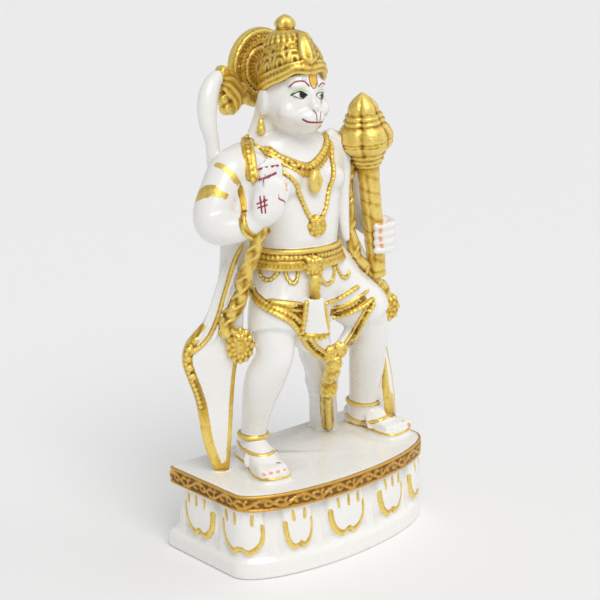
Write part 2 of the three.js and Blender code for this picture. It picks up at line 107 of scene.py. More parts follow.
def evenly(points, count):
    points = np.asarray(points, float)
    run = np.r_[0, np.cumsum(np.linalg.norm(np.diff(points, axis=0), axis=1))]
    at = np.linspace(0, run[-1], count)
    return np.stack([np.interp(at, run, points[:, i]) for i in range(points.shape[1])], 1)


def front(inset):
    half = WIDTH / 2 - inset
    back = (SIDE_DEPTH + BOW_DEPTH) / 2 - inset
    joint = back + inset - SIDE_DEPTH
    bow = BOW_DEPTH - inset
    turn = np.linspace(0, math.pi / 2, 8)
    left = np.c_[-(half - CORNER + CORNER * np.sin(turn)), back - CORNER + CORNER * np.cos(turn)]
    bend = np.linspace(0, math.pi, 90)
    return np.r_[left, np.c_[-half * np.cos(bend), joint - bow * np.sin(bend)], (left * (-1, 1))[::-1]]


def skin(rings):
    rings = np.asarray(rings, float)
    rows, count = rings.shape[:2]
    base = np.arange(rows - 1)[:, None] * count
    side = np.arange(count)
    ahead = (side + 1) % count
    quads = np.stack([base + side, base + ahead, base + count + ahead, base + count + side], -1)
    faces = quads.reshape(-1, 4).tolist()
    faces.append(list(range(count))[::-1])
    faces.append(list(range((rows - 1) * count, rows * count)))
    return rings.reshape(-1, 3), faces


def level(inset, z):
    path = front(inset)
    flat = evenly(np.r_[path, path[:1]], 241)[:-1]
    return np.c_[flat, np.full(len(flat), z)]


PLINTH = [(1.2, 0), (0.35, 0.3), (0, 1.2), (0, 4), (0, 7), (0.4, 8.4), (1.5, 9.3), (2.5, 9.8), (2.9, 11)]
PLINTH += [(3.9, 13), (4.1, 18), (4.6, 22), (5.3, 26), (6.2, 30), (6.4, BAND_FOOT - 1)]
PLINTH += [(5, BAND_FOOT - 0.4), (2, BAND_FOOT), (1.5, BAND_FOOT + 0.7)]
PLINTH += [(1.6, TOP - 1), (2, TOP - 0.3), (2.8, TOP)]
white.append(skin([level(inset, z) for inset, z in PLINTH]))

# The lotus petals round the cushion: raised cupped pads, cleft at their lower edge, with small leaves
# between them. White, with a gold outline brushed along the edge, and two or three short ridges at the
# root that are brushed gold too.
PETALS = [(-90, 25), (-62, 25), (-34.5, 17.5), (-6, 26), (25.5, 22), (51, 20), (79, 24)]
BROAD = 21
PAD = ((1.0, -0.8), (0.99, 1.6), (0.95, 2.9), (0.88, 2.6), (0.8, 2.7), (0.6, 3.3), (0.3, 3.7), (0.03, 3.7))
OUTLINES = ((0.95, 2.5, 1.2), (0.87, 2.7, 0.95))
RIDGE = ((-1, 2.9), (0, 4.4), (4.6, 4.4), (6, 2.9))
SMALL_LEAF = ((10.2, 3), (13, 2.6), (17, 1.5), (21, 0.5))
WALL_STEPS = 1200
root = BAND_FOOT - 1.5
tip = 11.0
walls = {}


def on_wall(along, z, out):
    inset = round(float(np.interp(z, [p[1] for p in PLINTH], [p[0] for p in PLINTH])), 1)
    if inset not in walls:
        path = evenly(front(inset), WALL_STEPS + 1)
        walls[inset] = path, np.linalg.norm(path[1] - path[0])
    path, pace = walls[inset]
    spot = int(np.clip(WALL_STEPS // 2 + along / pace, 3, WALL_STEPS - 3))
    ahead = path[spot + 3] - path[spot - 3]
    ahead /= np.linalg.norm(ahead)
    return np.array([path[spot][0] + ahead[1] * out, path[spot][1] - ahead[0] * out, z])


for middle, width in PETALS:
    run = np.linspace(0, 1, 48)
    across = -np.cos(np.pi * run) * width / 2 * (0.84 + 0.16 * np.sin(np.pi * run) ** 0.5)
    drop = np.sin(np.pi * run) ** 0.6 * (root - tip)
    drop -= np.exp(-(((run - 0.5) / 0.05) ** 2)) * (root - tip) * 0.12
    shut = np.linspace(width / 2, -width / 2, 14)[1:-1]
    rings = []
    for share, out in PAD:
        rim = [on_wall(middle + a * share, root - d * share, out) for a, d in zip(across, drop)]
        rings.append(rim + [on_wall(middle + a * share, root, out) for a in shut])
    white.append(skin(rings))
    for share, out, half_width in OUTLINES:
        lower = root - drop[2:-2] * (share + 0.01)
        edge = [on_wall(middle + a * share, z, out) for a, z in zip(across[2:-2], lower)]
        painted.append((edge, half_width))
    ridges = (-0.5, 0, 0.5) if width > BROAD else (-0.35, 0.35)
    for side in ridges:
        a = middle + side * width * 0.5
        painted.append(([on_wall(a, root - 0.5, 4.1), on_wall(a - side * 0.9, root - 4.6, 4.1)], 0.95))
        rings = []
        for z, out in RIDGE:
            corners = ((-0.9, out - 0.7), (0, out), (0.9, out - 0.7), (0, -1))
            rings.append([on_wall(a + x, root - z, depth) for x, depth in corners])
        white.append(skin(rings))
    for side in (-1, 1):
        a = middle + side * (width / 2 + 2.4)
        rings = []
        for z, half in SMALL_LEAF:
            leaf = [on_wall(a + s * half, z, 1.1 - abs(s) * 1.6) for s in (-1, 0, 1)]
            rings.append(leaf + [on_wall(a, z, -2)])
        white.append(skin(rings))

# Body, legs and arms: the plain flesh of the casting, smooth and full, with no joint anywhere.
# Glossy white paint. A limb is an oval section that runs through stations of place and half sizes.


def spline(points, steps):
    p = np.asarray(points, float)
    p = np.vstack([2 * p[0] - p[1], p, 2 * p[-1] - p[-2]])
    t = np.linspace(0, 1, steps, endpoint=False)[:, None]
    out = []
    for a, b, c, d in zip(p[:-3], p[1:-2], p[2:-1], p[3:]):
        out.append(b + 0.5 * t * (c - a + t * (2 * a - 5 * b + 4 * c - d + t * (3 * (b - c) + d - a))))
    return np.vstack([*out, p[-2:-1]])


def grid(point):
    return np.asarray(point, float) + (0, 0, TOP)


def limb(stations, facing=(0, 1, 0), sides=28, steps=8, dome=0.7, square=1.0, shape=None):
    line = spline(stations, steps)
    place = line[:, :3] + (0, 0, TOP)
    wide, deep = line[:, 3], line[:, 4] if line.shape[1] > 4 else line[:, 3]
    along = np.gradient(place, axis=0)
    along /= np.linalg.norm(along, axis=1, keepdims=True)
    depth = np.asarray(facing, float) - along * (along @ np.asarray(facing, float))[:, None]
    depth /= np.linalg.norm(depth, axis=1, keepdims=True)
    width = np.cross(depth, along)
    angle = np.linspace(0, 2 * math.pi, sides, endpoint=False)
    cos = np.sign(np.cos(angle)) * abs(np.cos(angle)) ** square
    sin = np.sign(np.sin(angle)) * abs(np.sin(angle)) ** square
    rows = [(i, 1.0, 0.0) for i in range(len(place))]
    if dome:
        bends = [math.radians(b) for b in (20, 40, 60, 78)]
        rows = [(0, math.cos(b), -math.sin(b)) for b in bends[::-1]] + rows
        rows += [(-1, math.cos(b), math.sin(b)) for b in bends]
    rings = []
    for i, shrink, shift in rows:
        t = (i % len(place)) / (len(place) - 1)
        swell = shape(angle, t) if shape else 1.0
        middle = place[i] + along[i] * shift * dome * min(wide[i], deep[i])
        ring = middle + (width[i] * wide[i] * shrink * (cos * swell)[:, None])
        rings.append(ring + depth[i] * deep[i] * shrink * (sin * swell)[:, None])
    return skin(rings)


def lump(centre, radii, turn=0, nod=0, sides=26, rows=16):
    tilt = np.linspace(0.02, math.pi - 0.02, rows)
    angle = np.linspace(0, 2 * math.pi, sides, endpoint=False)
    ball = [np.outer(np.sin(tilt), np.cos(angle)), np.outer(np.sin(tilt), np.sin(angle))]
    ball.append(-np.outer(np.cos(tilt), np.ones(sides)))
    ball = np.stack(ball, -1) * np.asarray(radii, float)
    n, t = math.radians(nod), math.radians(turn)
    ball = ball @ np.array([[1, 0, 0], [0, math.cos(n), math.sin(n)], [0, -math.sin(n), math.cos(n)]])
    ball = ball @ np.array([[math.cos(t), math.sin(t), 0], [-math.sin(t), math.cos(t), 0], [0, 0, 1]])
    return skin(ball + np.asarray(centre, float) + (0, 0, TOP))


BODY_FACING = (0.14, 0.99, 0)
torso = [(-5, 0, 72, 19, 13), (-7, 0, 86, 26.5, 17), (-8.5, -1, 96, 24.5, 16.5), (-10, -2, 106, 20.5, 15)]
torso += [(-10.5, -2.4, 116, 21, 15.8), (-10.5, -1, 128, 24.5, 15.6), (-10, 1, 139, 28, 15)]
torso += [(-9.5, 2, 148, 29, 13.5), (-9.5, 3, 156, 22, 10), (-9.5, 3, 162, 11.5, 9), (-10.5, 1, 172, 9, 9)]
right_leg = [(-16, 0, 88, 14, 15), (-26, -4, 72, 10.8, 11.6), (-30, -8, 59, 8.8, 9)]
right_leg += [(-31.5, -3, 47, 9.6, 9.4)]
right_leg += [(-31, 2, 36, 8.2, 8.4), (-29, 7, 24, 6.6, 7), (-28, 10, 14, 6, 6.4), (-28, 11, 5, 7, 8)]
left_leg = [(6, 0, 88, 14, 15), (25, -8, 72, 11.6, 11.6), (31.5, -9, 61, 9.6, 9.6), (34, -6, 50, 9.4, 9.4)]
left_leg += [(38.5, -1, 38, 9, 9), (42.5, 4, 26, 8, 8.2), (45.5, 8, 14, 7.2, 7.4), (46.3, 9, 5, 7, 8)]
right_arm = [(-36, 4, 149, 10, 10), (-46, 3, 145, 10.6, 10.8), (-53, 2, 137, 9.8, 10)]
right_arm += [(-58, 1, 129, 9.4, 9.6), (-60.1, -2, 124.4, 8.3, 8.5), (-58.3, -8, 123.4, 7.4, 7.6)]
right_arm += [(-53.5, -14, 125, 6.2, 6.2), (-50, -18, 127.5, 5.2, 5.2)]
left_arm = [(16, 4, 149, 10, 10), (25, 5, 145.5, 10, 10), (32, 8, 136, 8.8, 9.2), (37, 10.6, 124, 8, 8.2)]
left_arm += [(40, 9, 115.6, 7.4, 7.4), (41.5, 2.4, 110, 6.2, 6.2), (41.6, -4, 107.6, 5.6, 5.6)]
white.append(limb(torso, BODY_FACING, sides=48))
white.append(lump((-22.5, -8.4, 139.5), (10.5, 6.6, 8), turn=14))
white.append(lump((-0.5, -9.9, 139.5), (10.5, 6.6, 8), turn=-20))
white.append(lump((-11, -8, 114), (15, 10.4, 9)))
white += [limb(right_leg), limb(left_leg)]
arm_front = [(-38, -4, 152, 6, 4), (-43, -6, 144, 7, 3.6), (-47, -8, 134, 6.6, 3.4)]
arm_front += [(-49.4, -11, 126, 5, 3.4)]
white.append(limb(arm_front, (0.66, 0.75, 0)))
white.append(limb(right_arm, (-0.6, -0.28, 0.65)))
white.append(limb(left_arm, (-0.8, 0.2, -0.5)))

# Hands: the right one raised with its palm to the front, the left one closed round the mace.
# White, with the nails and the lines of the palm brushed on.
palm = [(-48.4, -20.4, 128.6, 5.6, 4), (-46.4, -22.6, 134, 7.8, 4)]
palm += [(-45.4, -23, 141, 7.4, 3.4), (-45.2, -22.6, 144.4, 7, 3)]
white.append(limb(palm, (0.35, 0.94, 0)))
for i in range(4):
    short = 1.6 * (i == 0) + 0.5 * (i == 3)
    shift = i * 0.2
    finger = [(-50.4 + i * 3.45, shift - 22.6, 142, 1.8, 2), (-49.8 + i * 3.35, shift - 22.6, 149, 1.75, 1.9)]
    finger.append((-49.4 + i * 3.25, shift - 21.8, 154 - short, 1.5, 1.6))
    white.append(limb(finger, sides=16, dome=1))
    down = i * 3.9
    grip = [(44, -7, 113 - down, 2.1, 2), (41.4, -14.6, 112.6 - down, 2.1, 2)]
    grip += [(35.4, -16.8, 112.2 - down, 2, 1.9), (30.4, -14.4, 112 - down, 1.8, 1.7)]
    white.append(limb(grip, (0, 0, 1), sides=16, dome=1))
white.append(lump((-49.4, -21.2, 131), (4.6, 4.4, 5)))
white.append(lump((-42.6, -22.2, 131.6), (4.4, 3.6, 5.2), turn=20))
thumb = [(-42, -21, 131, 2.8, 2.8), (-37.6, -22.4, 136, 2.4, 2.4), (-35.8, -22.4, 140.6, 1.9, 1.9)]
white.append(limb(thumb, sides=16, dome=1))
white.append(lump((41, -7.6, 107), (6.4, 6, 8.2)))

# Feet on sandals: a flat sole, a full foot, five toes and a broad strap over the instep.
# White, with a gold line brushed round the sole's side. A foot is worked in shares of its length from
# the heel, so both come from the same outlines.
FEET = (((-26, 17), (-36.5, -14), 1), ((46.5, 15), (50, -12), -1))
SOLE = [(-0.16, 1), (-0.14, 5), (-0.04, 7), (0.2, 7), (0.5, 7.2)]
SOLE += [(0.8, 9), (1.02, 8.8), (1.13, 6.6), (1.165, 2)]
INSTEP = [(-0.08, 6, 5, 5), (0.2, 8.5, 6.3, 7), (0.5, 7.2, 6.6, 5.6)]
INSTEP += [(0.76, 5.2, 7.4, 3.6), (0.86, 4.4, 7, 2.4)]
STRAP = ((0.6, -7.2, 3.4), (0.54, -6, 8.6), (0.5, 0, 12), (0.54, 6, 8.6), (0.6, 7.2, 3.4))
for (hx, hy), (tx, ty), inner in FEET:
    long, turn = math.hypot(tx - hx, ty - hy), math.atan2(ty - hy, tx - hx)

    def tread(u, v, z=0.0):
        u = u * long
        return hx + u * math.cos(turn) - v * math.sin(turn), hy + u * math.sin(turn) + v * math.cos(turn), z

    half = spline(SOLE, 5)
    rim = [tread(u, v) for u, v in half] + [tread(u, -v) for u, v in half[::-1]]
    rim = evenly(np.array(rim + rim[:1]), 121)[:-1]
    centre = rim.mean(0)
    soles = ((-0.6, 1), (2.4, 1), (2.9, 0.985), (3.2, 0.95))
    white.append(skin([centre + (rim - centre) * (s, s, 1) + (0, 0, z + TOP) for z, s in soles]))
    edge = [centre + (p - centre) * (0.995, 0.995, 1) + (0, 0, 2.6 + TOP) for p in [*rim, rim[0]]]
    painted.append((edge, 0.75))
    white.append(limb([(*tread(u, 0, z), w, h) for u, z, w, h in INSTEP], (0, 0, 1), dome=0.8))
    for i in range(5):
        v = inner * (-6.2 + i * 3.1)
        reach = 1.09 - 0.035 * i
        big = 2.4 if i == 0 else 1.7
        toe = [(*tread(reach - 0.3, v * 0.92, 5), big, big), (*tread(reach - 0.1, v, 5.2), big, big)]
        toe.append((*tread(reach, v, 4.8), big, big * 0.9))
        white.append(limb(toe, (0, 0, 1), sides=16, dome=0.9))
    white.append(limb([(*tread(u, v, z), 2.8, 0.9) for u, v, z in STRAP], (0, 0, 1)))

# Cloth: a short wrapped loincloth with swags, and a pleated end behind that props the figure.
# White, thick and soft-edged where it was carved; the shawl crosses the back and hangs at both sides.
right_cloth = [(-14, 0, 93, 17, 16.5), (-23, -3, 79, 14, 15), (-27.4, -5, 70, 12.4, 13.4)]
right_cloth += [(-28, -5.4, 68.6, 11.6, 12.4)]
left_cloth = [(5, 0, 93, 17, 16.5), (16, -5, 81, 14, 14), (26.4, -9, 72.4, 13, 13)]
left_cloth += [(27.6, -9.4, 71.2, 12, 12)]


def pleats(count, deep):
    return lambda angle, t: 1 + deep * np.cos(count * angle + 3 * t)


white += [limb(cloth, steps=10, dome=0.1, shape=pleats(9, 0.008)) for cloth in (right_cloth, left_cloth)]
prop = [(5, 3, 76, 9, 7), (8, 6, 60, 8.4, 7.4), (12.5, 9, 48, 8.6, 7.8)]
prop += [(17, 11.6, 40, 7.6, 7.6), (20, 13.5, 35, 7.4, 8)]
prop += [(24, 16.5, 29, 8.4, 8.4), (26, 18.4, 23, 7, 7.6), (28, 20, 18, 6.6, 7.4), (33, 24.5, -0.6, 7, 8)]
white.append(limb(prop, dome=0, shape=pleats(7, 0.06)))
front_cloth = [(-20, -11, 74, 9, 5), (-8, -9.5, 64, 8.5, 4.5), (2, -8.5, 55, 4.4, 3.5)]
white.append(limb(front_cloth, shape=pleats(5, 0.03)))
white.append(limb([(24, -9, 70, 6.5, 4), (18.4, -9.4, 61, 4, 3), (12, -9, 55, 3, 2.6)]))
back = [(-9, 13, 90, 26, 5), (-9, 14, 118, 28, 5), (-9, 13, 134, 33, 6)]
back += [(-9, 11, 144, 38, 7), (-9, 8, 152, 33, 7)]
white.append(limb(back, sides=60, dome=0.5, shape=pleats(16, 0.02)))
right_end = [(-38, 7, 124, 8, 4), (-40, 6.5, 113, 7.6, 3.6), (-43, 7.4, 92, 6.6, 3), (-46.5, 9, 74, 9.6, 2.8)]
right_end += [(-50.5, 10.4, 64, 12.8, 2.6), (-53, 11, 59, 13.8, 2.5)]
right_end += [(-52.6, 11.4, 53, 12.6, 2.5), (-50.6, 11.6, 38, 9.4, 2.5)]
right_end += [(-49.6, 11.4, 18, 7.2, 2.4), (-47, 12, 3, 4.4, 2.2), (-46.6, 12, -0.6, 3.4, 2)]
white.append(limb(right_end, (0.48, 0.87, 0), dome=0, square=0.6))
left_end = [(26, 14, 120, 9, 4), (36, 13, 100, 9, 4), (44, 9, 82, 8, 4)]
left_end += [(49, 6, 64, 6, 3.4), (51.6, 3.4, 46, 4.6, 3)]
left_end += [(53, 0, 28, 5.4, 3), (54, -2, 10, 5.4, 2.8), (54, -2, 3, 4.6, 2.6)]
white.append(limb(left_end, (-0.3, 0.95, 0), dome=0.2, square=0.7))

# The tail: it leaves the cloth behind, loops up past the right shoulder and bends back to the halo.
# White up to a gold tuft of curled lobes, which touches the halo's edge.
tail = [(-14, 15, 92, 6.4, 5.6), (-30, 17, 110, 6, 5), (-42, 16, 132, 4.6, 4.4), (-45.4, 15.4, 150, 3.5, 3.5)]
tail += [(-46, 16, 158, 3.3, 3.3), (-47.4, 17, 167, 4.3, 4), (-46.8, 18, 175, 4.9, 4.4)]
tail += [(-43.8, 19, 182, 4.5, 4.2), (-39, 20, 187, 3.2, 3.2)]
white.append(limb(tail))
tuft = [(-38.4, 20, 186.6, 3.2, 3.4), (-33.5, 20.4, 184.4, 5, 4), (-30, 20.6, 178.6, 5.6, 4.2)]
tuft += [(-29.4, 20.6, 173.4, 4.4, 3.6), (-30.4, 20.6, 169.6, 2, 2)]
TUFT_CURLS = [(-36, 189, 2.6), (-33, 187.6, 3.2), (-25.4, 180, 3.4)]
TUFT_CURLS += [(-24, 175.4, 3), (-34, 171.4, 3), (-36.4, 176, 2.8)]
gold.append(limb(tuft, sides=60, shape=lambda angle, t: 1 + 0.1 * np.cos(9 * angle + 16 * t)))
for x, z, r in TUFT_CURLS:
    gold.append(lump((x, 20.6, z), (r, 3.4, r)))

# The head: a round monkey face with full cheeks and a broad muzzle, ears, and hair that falls behind.
# White; the eyes, brows, forehead mark and mouth are brushed on.
HEAD = (-11, 0, 175)
TURN = math.radians(-8)


def on_head(side, ahead, up):
    x = HEAD[0] + side * math.cos(TURN) + ahead * math.sin(TURN)
    return x, HEAD[1] + side * math.sin(TURN) - ahead * math.cos(TURN), HEAD[2] + up


def head_lump(side, ahead, up, radii, turn=0.0, nod=0.0):
    white.append(lump(on_head(side, ahead, up), radii, math.degrees(TURN) + turn, nod, sides=36, rows=24))


head_lump(0, 0, 1, (14.4, 15.6, 15.5))
head_lump(0, 3.4, -7, (11.8, 12, 7.6))
head_lump(0, 11.4, -5.8, (8.6, 8, 5.4))
head_lump(0, 9.4, -10.2, (6.6, 6.6, 3.6))
head_lump(0, 18.2, -0.6, (2.2, 2, 1.8))
head_lump(0, 14.6, 4, (1.9, 2.4, 6), nod=-14)
head_lump(0, 6.8, 9.6, (9.8, 7.6, 6.4))
for s in (-1, 1):
    head_lump(s * 5.8, 12.2, 8.8, (4.8, 2.6, 1.8), turn=s * 18)
    head_lump(s * 8.6, 8.6, -3, (4.8, 5, 5), turn=s * 30)
    head_lump(s * 5.8, 12.1, 4.2, (3.4, 2.4, 2.1), turn=s * 20)
    head_lump(s * 14.6, -2.5, 1.5, (1.6, 3.6, 5.2), turn=-s * 12)
    head_lump(s * 15.2, -0.6, 1.2, (1.3, 1.2, 5), turn=-s * 12)
    head_lump(s * 14.8, -2.4, -3.6, (1.6, 2, 2))
    gold.append(lump(on_head(s * 15.6, -2.4, -6.2), (0.9, 0.9, 1.1)))
    gold.append(lump(on_head(s * 15.8, -2.6, -9.2), (1.7, 1.7, 2)))
    gold.append(lump(on_head(s * 15.8, -2.6, -12), (2.1, 2.1, 2.6)))
hair = [(-10.5, 7, 180, 13, 9), (-10, 9, 168, 15, 9.5), (-10, 10, 158, 20, 8), (-10, 11, 148, 24, 7)]
white.append(limb(hair, sides=60, shape=pleats(20, 0.02)))

# The tall crown: a rim of three cords and a row of beads, a band of arches, a lobed dome and a bud.
# Gold all over, leaning back on the head, with a leaf at its front over the forehead mark. A tier is its
# height on the head, how far ahead its middle is, its half width and depth, and its tilt in degrees.
tiers = [(7, 0, 14.6, 15.4, 25), (8.4, 0, 15.4, 16.4, 25), (9.4, -0.1, 15.5, 16.6, 25)]
tiers += [(11, -0.4, 14.8, 16, 24), (12.4, -0.6, 15, 16, 24), (13.6, -1, 14.2, 15.2, 23)]
tiers += [(15.6, -1.4, 14, 15, 22), (20.6, -2.6, 12.8, 13.2, 20), (24.6, -3.6, 10.6, 10.8, 17)]
tiers += [(26.2, -4, 11, 11.3, 14), (28, -4.4, 10, 10.2, 12), (29.4, -4.8, 9.4, 9.6, 10)]
tiers += [(31.4, -5.4, 6.4, 6.6, 6), (32.4, -5.8, 3.9, 3.9, 0), (34, -6, 4.5, 4.5, 0)]
tiers += [(36.2, -6, 4, 4, 0), (37.9, -6, 2.4, 2.4, 0), (38.9, -6, 0.4, 0.4, 0)]


def crown_ring(up, ahead, width, depth, tilt):
    angle = np.linspace(0, 2 * math.pi, 160, endpoint=False)
    off_front = abs((angle + math.pi) % (2 * math.pi) - math.pi)
    dome = np.interp(up, [13, 15, 23, 25], [0, 1, 1, 0])
    bud = np.interp(up, [32, 33, 36, 38], [0, 1, 1, 0])
    swell = 1 + 0.02 * dome * (abs(np.cos(7 * angle)) - 0.5) + 0.3 * bud * (abs(np.cos(3 * angle)) - 0.6)
    swell += 0.05 * np.interp(up, [24.5, 26, 30, 31], [0, 1, 1, 0]) * np.cos(24 * angle)
    peak = 1.7 * np.exp(-(((off_front - 0.5) / 0.3) ** 2)) * np.interp(up, [8, 14], [1, 0])
    forward = depth * swell * np.cos(angle)
    lean = math.radians(tilt)
    side = width * swell * np.sin(angle)
    rows = zip(side, ahead + forward * math.cos(lean), up + forward * math.sin(lean) + peak)
    return np.array([on_head(*row) for row in rows]) + (0, 0, TOP)


gold.append(skin([crown_ring(*row) for row in spline(tiers, 4)]))
leaf = [(*on_head(0, 13.4, 18.4), 4, 1.8), (*on_head(0, 12, 22.5), 4.6, 2), (*on_head(0, 9.4, 27), 3.6, 2)]
leaf.append((*on_head(0, 5.8, 31), 1, 1.2))
gold.append(limb(leaf))


def tube(points, radius, sides=10):
    points = np.asarray(points, float)
    along = np.gradient(points, axis=0)
    along /= np.linalg.norm(along, axis=1, keepdims=True) + 1e-9
    girth = radius * np.ones(len(points))
    girth[:2] *= (0.35, 0.85)
    girth[-2:] *= (0.85, 0.35)
    side = np.cross(along[0], (0.31, 0.52, 0.79))
    angle = np.linspace(0, 2 * math.pi, sides, endpoint=False)[:, None]
    rings = []
    for point, ahead, r in zip(points, along, girth):
        side = side - ahead * (side @ ahead)
        side /= np.linalg.norm(side)
        rings.append(point + r * (np.cos(angle) * side + np.sin(angle) * np.cross(ahead, side)))
    return skin(rings)


# Beads are cast with the band or cord they sit on, and lie along it at an even step.
# One Geometry Nodes tree lays an egg at each step of a path, its length along the path.
gold_leaf = bpy.data.materials.new("gold_leaf")
beading = bpy.data.node_groups.new("beads_along_path", "GeometryNodeTree")
beading.interface.new_socket("Path", in_out="INPUT", socket_type="NodeSocketGeometry")
for name in ("Spacing", "Radius", "Stretch"):
    beading.interface.new_socket(name, in_out="INPUT", socket_type="NodeSocketFloat")
beading.interface.new_socket("Finish", in_out="INPUT", socket_type="NodeSocketMaterial")
beading.interface.new_socket("Beads", in_out="OUTPUT", socket_type="NodeSocketGeometry")
STEPS = {
    "inlet": "NodeGroupInput",
    "curve": "GeometryNodeMeshToCurve",
    "even": "GeometryNodeResampleCurve",
    "egg": "GeometryNodeMeshIcoSphere",
    "stretch": "ShaderNodeCombineXYZ",
    "tangent": "GeometryNodeInputTangent",
    "aim": "FunctionNodeAlignRotationToVector",
    "lay": "GeometryNodeInstanceOnPoints",
    "real": "GeometryNodeRealizeInstances",
    "finish": "GeometryNodeSetMaterial",
    "outlet": "NodeGroupOutput",
}
step = {name: beading.nodes.new(kind) for name, kind in STEPS.items()}
step["even"].mode = "LENGTH"
step["aim"].axis = "Z"
step["egg"].inputs["Subdivisions"].default_value = 2
step["stretch"].inputs["X"].default_value = 1
step["stretch"].inputs["Y"].default_value = 1
for start, out, end, into in (
    ("inlet", "Path", "curve", "Mesh"),
    ("curve", "Curve", "even", "Curve"),
    ("inlet", "Spacing", "even", "Length"),
    ("inlet", "Radius", "egg", "Radius"),
    ("inlet", "Stretch", "stretch", "Z"),
    ("tangent", "Tangent", "aim", "Vector"),
    ("even", "Curve", "lay", "Points"),
    ("egg", "Mesh", "lay", "Instance"),
    ("aim", "Rotation", "lay", "Rotation"),
    ("stretch", "Vector", "lay", "Scale"),
    ("lay", "Instances", "real", "Geometry"),
    ("real", "Geometry", "finish", "Geometry"),
    ("inlet", "Finish", "finish", "Material"),
    ("finish", "Geometry", "outlet", "Beads"),
):
    beading.links.new(step[start].outputs[out], step[end].inputs[into])


def shape_of(mesh):
    places = np.empty(len(mesh.vertices) * 3)
    mesh.vertices.foreach_get("co", places)
    return places.reshape(-1, 3), [list(p.vertices) for p in mesh.polygons]


def beads(path, spacing, radius, stretch=1.0):
    path = np.asarray(path, float)
    line = bpy.data.meshes.new("bead_path")
    line.from_pydata(path.tolist(), [(i, i + 1) for i in range(len(path) - 1)], [])
    thing = bpy.data.objects.new("bead_path", line)
    scene.collection.objects.link(thing)
    laying = thing.modifiers.new("beads", "NODES")
    laying.node_group = beading
    values = {"Spacing": spacing, "Radius": radius, "Stretch": stretch, "Finish": gold_leaf}
    for socket in beading.interface.items_tree:
        if socket.in_out == "INPUT" and socket.name in values:
            laying[socket.identifier] = values[socket.name]
    laid = bpy.data.meshes.new_from_object(thing.evaluated_get(bpy.context.evaluated_depsgraph_get()))
    gold.append(shape_of(laid))
    bpy.data.objects.remove(thing)


def loop(ring):
    return np.vstack([ring, ring[:1]])


gold.append(tube(loop(crown_ring(7.4, 0, 14.9, 15.6, 25)), 1))
gold.append(tube(loop(crown_ring(9.4, -0.1, 15.7, 16.8, 25)), 0.75))
beads(loop(crown_ring(11, -0.4, 15.2, 16.4, 24)), 1.9, 0.75)
gold.append(tube(loop(crown_ring(12.6, -0.6, 15.2, 16.2, 24)), 0.75))


def on_crown(around, up, out):
    rows = np.array(tiers, float)
    ahead, width, depth, tilt = (np.interp(up, rows[:, 0], rows[:, i]) for i in range(1, 5))
    forward, lean = (depth + out) * math.cos(around), math.radians(tilt)
    side = (width + out) * math.sin(around)
    return grid(on_head(side, ahead + forward * math.cos(lean), up + forward * math.sin(lean)))


ARCHES = 13
rim_angle = np.linspace(0, 2 * math.pi, 181)
for i in range(ARCHES):
    middle = 2 * math.pi * i / ARCHES
    for half, foot, rise, thick in ((0.2, 13.6, 6.2, 0.75), (0.09, 13.6, 3.6, 0.7)):
        bend = np.linspace(0, math.pi, 14)
        arch = [on_crown(middle + half * math.cos(a), foot + rise * math.sin(a) ** 0.7, 0.4) for a in bend]
        gold.append(tube(arch, thick, 8))
    between = middle + math.pi / ARCHES
    ring = [on_crown(between + 0.13 * math.cos(a), 21.6 + 1.7 * math.sin(a), 0.3) for a in rim_angle[::12]]
    gold.append(tube(ring, 0.65, 8))
    gold.append(tube([on_crown(middle, 20.6 + 3.6 * k, 0.3) for k in np.linspace(0, 1, 5)], 0.75, 8))
gold.append(tube([on_crown(a, 24.3, 0.3) for a in rim_angle], 0.7, 8))
spine = [(0, 15.6, 18.4), (0, 14.4, 22.5), (0, 11.9, 27), (0, 7.6, 31)]
gold.append(tube(spline([grid(on_head(*point)) for point in spine], 5), 0.8, 8))
for side in (-1, 1):
    for foot in (0.05, 0.25, 0.45, 0.65):
        ahead, up = 15.8 - 7 * foot, 18.4 + 12 * foot
        vein = [(side * k * 4 * (1 - 0.4 * foot), ahead - k * 1.1, up + 2.4 * k) for k in (0, 0.33, 0.66, 1)]
        gold.append(tube([grid(on_head(*point)) for point in vein], 0.7, 8))

# The round halo behind the crown: a thick disc with raised rings and fine hatching between them.
# Gold; its edge rests on the crown's back and the tail's tuft, whose lobes carry coiled cords.


def turned(profile, foot, head, sides=96, shape=None):
    foot, head = np.asarray(foot, float) + (0, 0, TOP), np.asarray(head, float) + (0, 0, TOP)
    axis = (head - foot) / np.linalg.norm(head - foot)
    side = np.cross(axis, (0.2, 0.9, 0.1) if abs(axis[1]) < 0.8 else (1, 0, 0))
    side /= np.linalg.norm(side)
    angle = np.linspace(0, 2 * math.pi, sides, endpoint=False)
    round_it = np.cos(angle)[:, None] * side + np.sin(angle)[:, None] * np.cross(axis, side)
    rings = []
    for r, h in profile:
        swell = shape(angle, h) if shape else np.ones(sides)
        rings.append(foot + axis * h + round_it * (r * swell)[:, None])
    return skin(rings)


disc = [(0.3, 0), (17.4, 0), (18.4, 0.8), (18.8, 2.2), (18.6, 3.8), (17.8, 4.9), (16.8, 5.2), (16, 4.6)]
disc += [(15.6, 3.7), (14.8, 3.6), (14.4, 4.6), (13.4, 5.2), (12.2, 5), (11.6, 4.1), (10.8, 4)]
disc += [(10.4, 4.8), (9, 5.2), (0.3, 5.2)]
HALO_X = -10.5
HALO_Z = 188.4
HALO_BACK = 26
HALO_FACE = 20.9
gold.append(turned(disc, (HALO_X, HALO_BACK, HALO_Z), (HALO_X, 0, HALO_Z)))


def on_halo(r, angle):
    return grid((HALO_X + r * math.cos(angle), HALO_FACE, HALO_Z + r * math.sin(angle)))


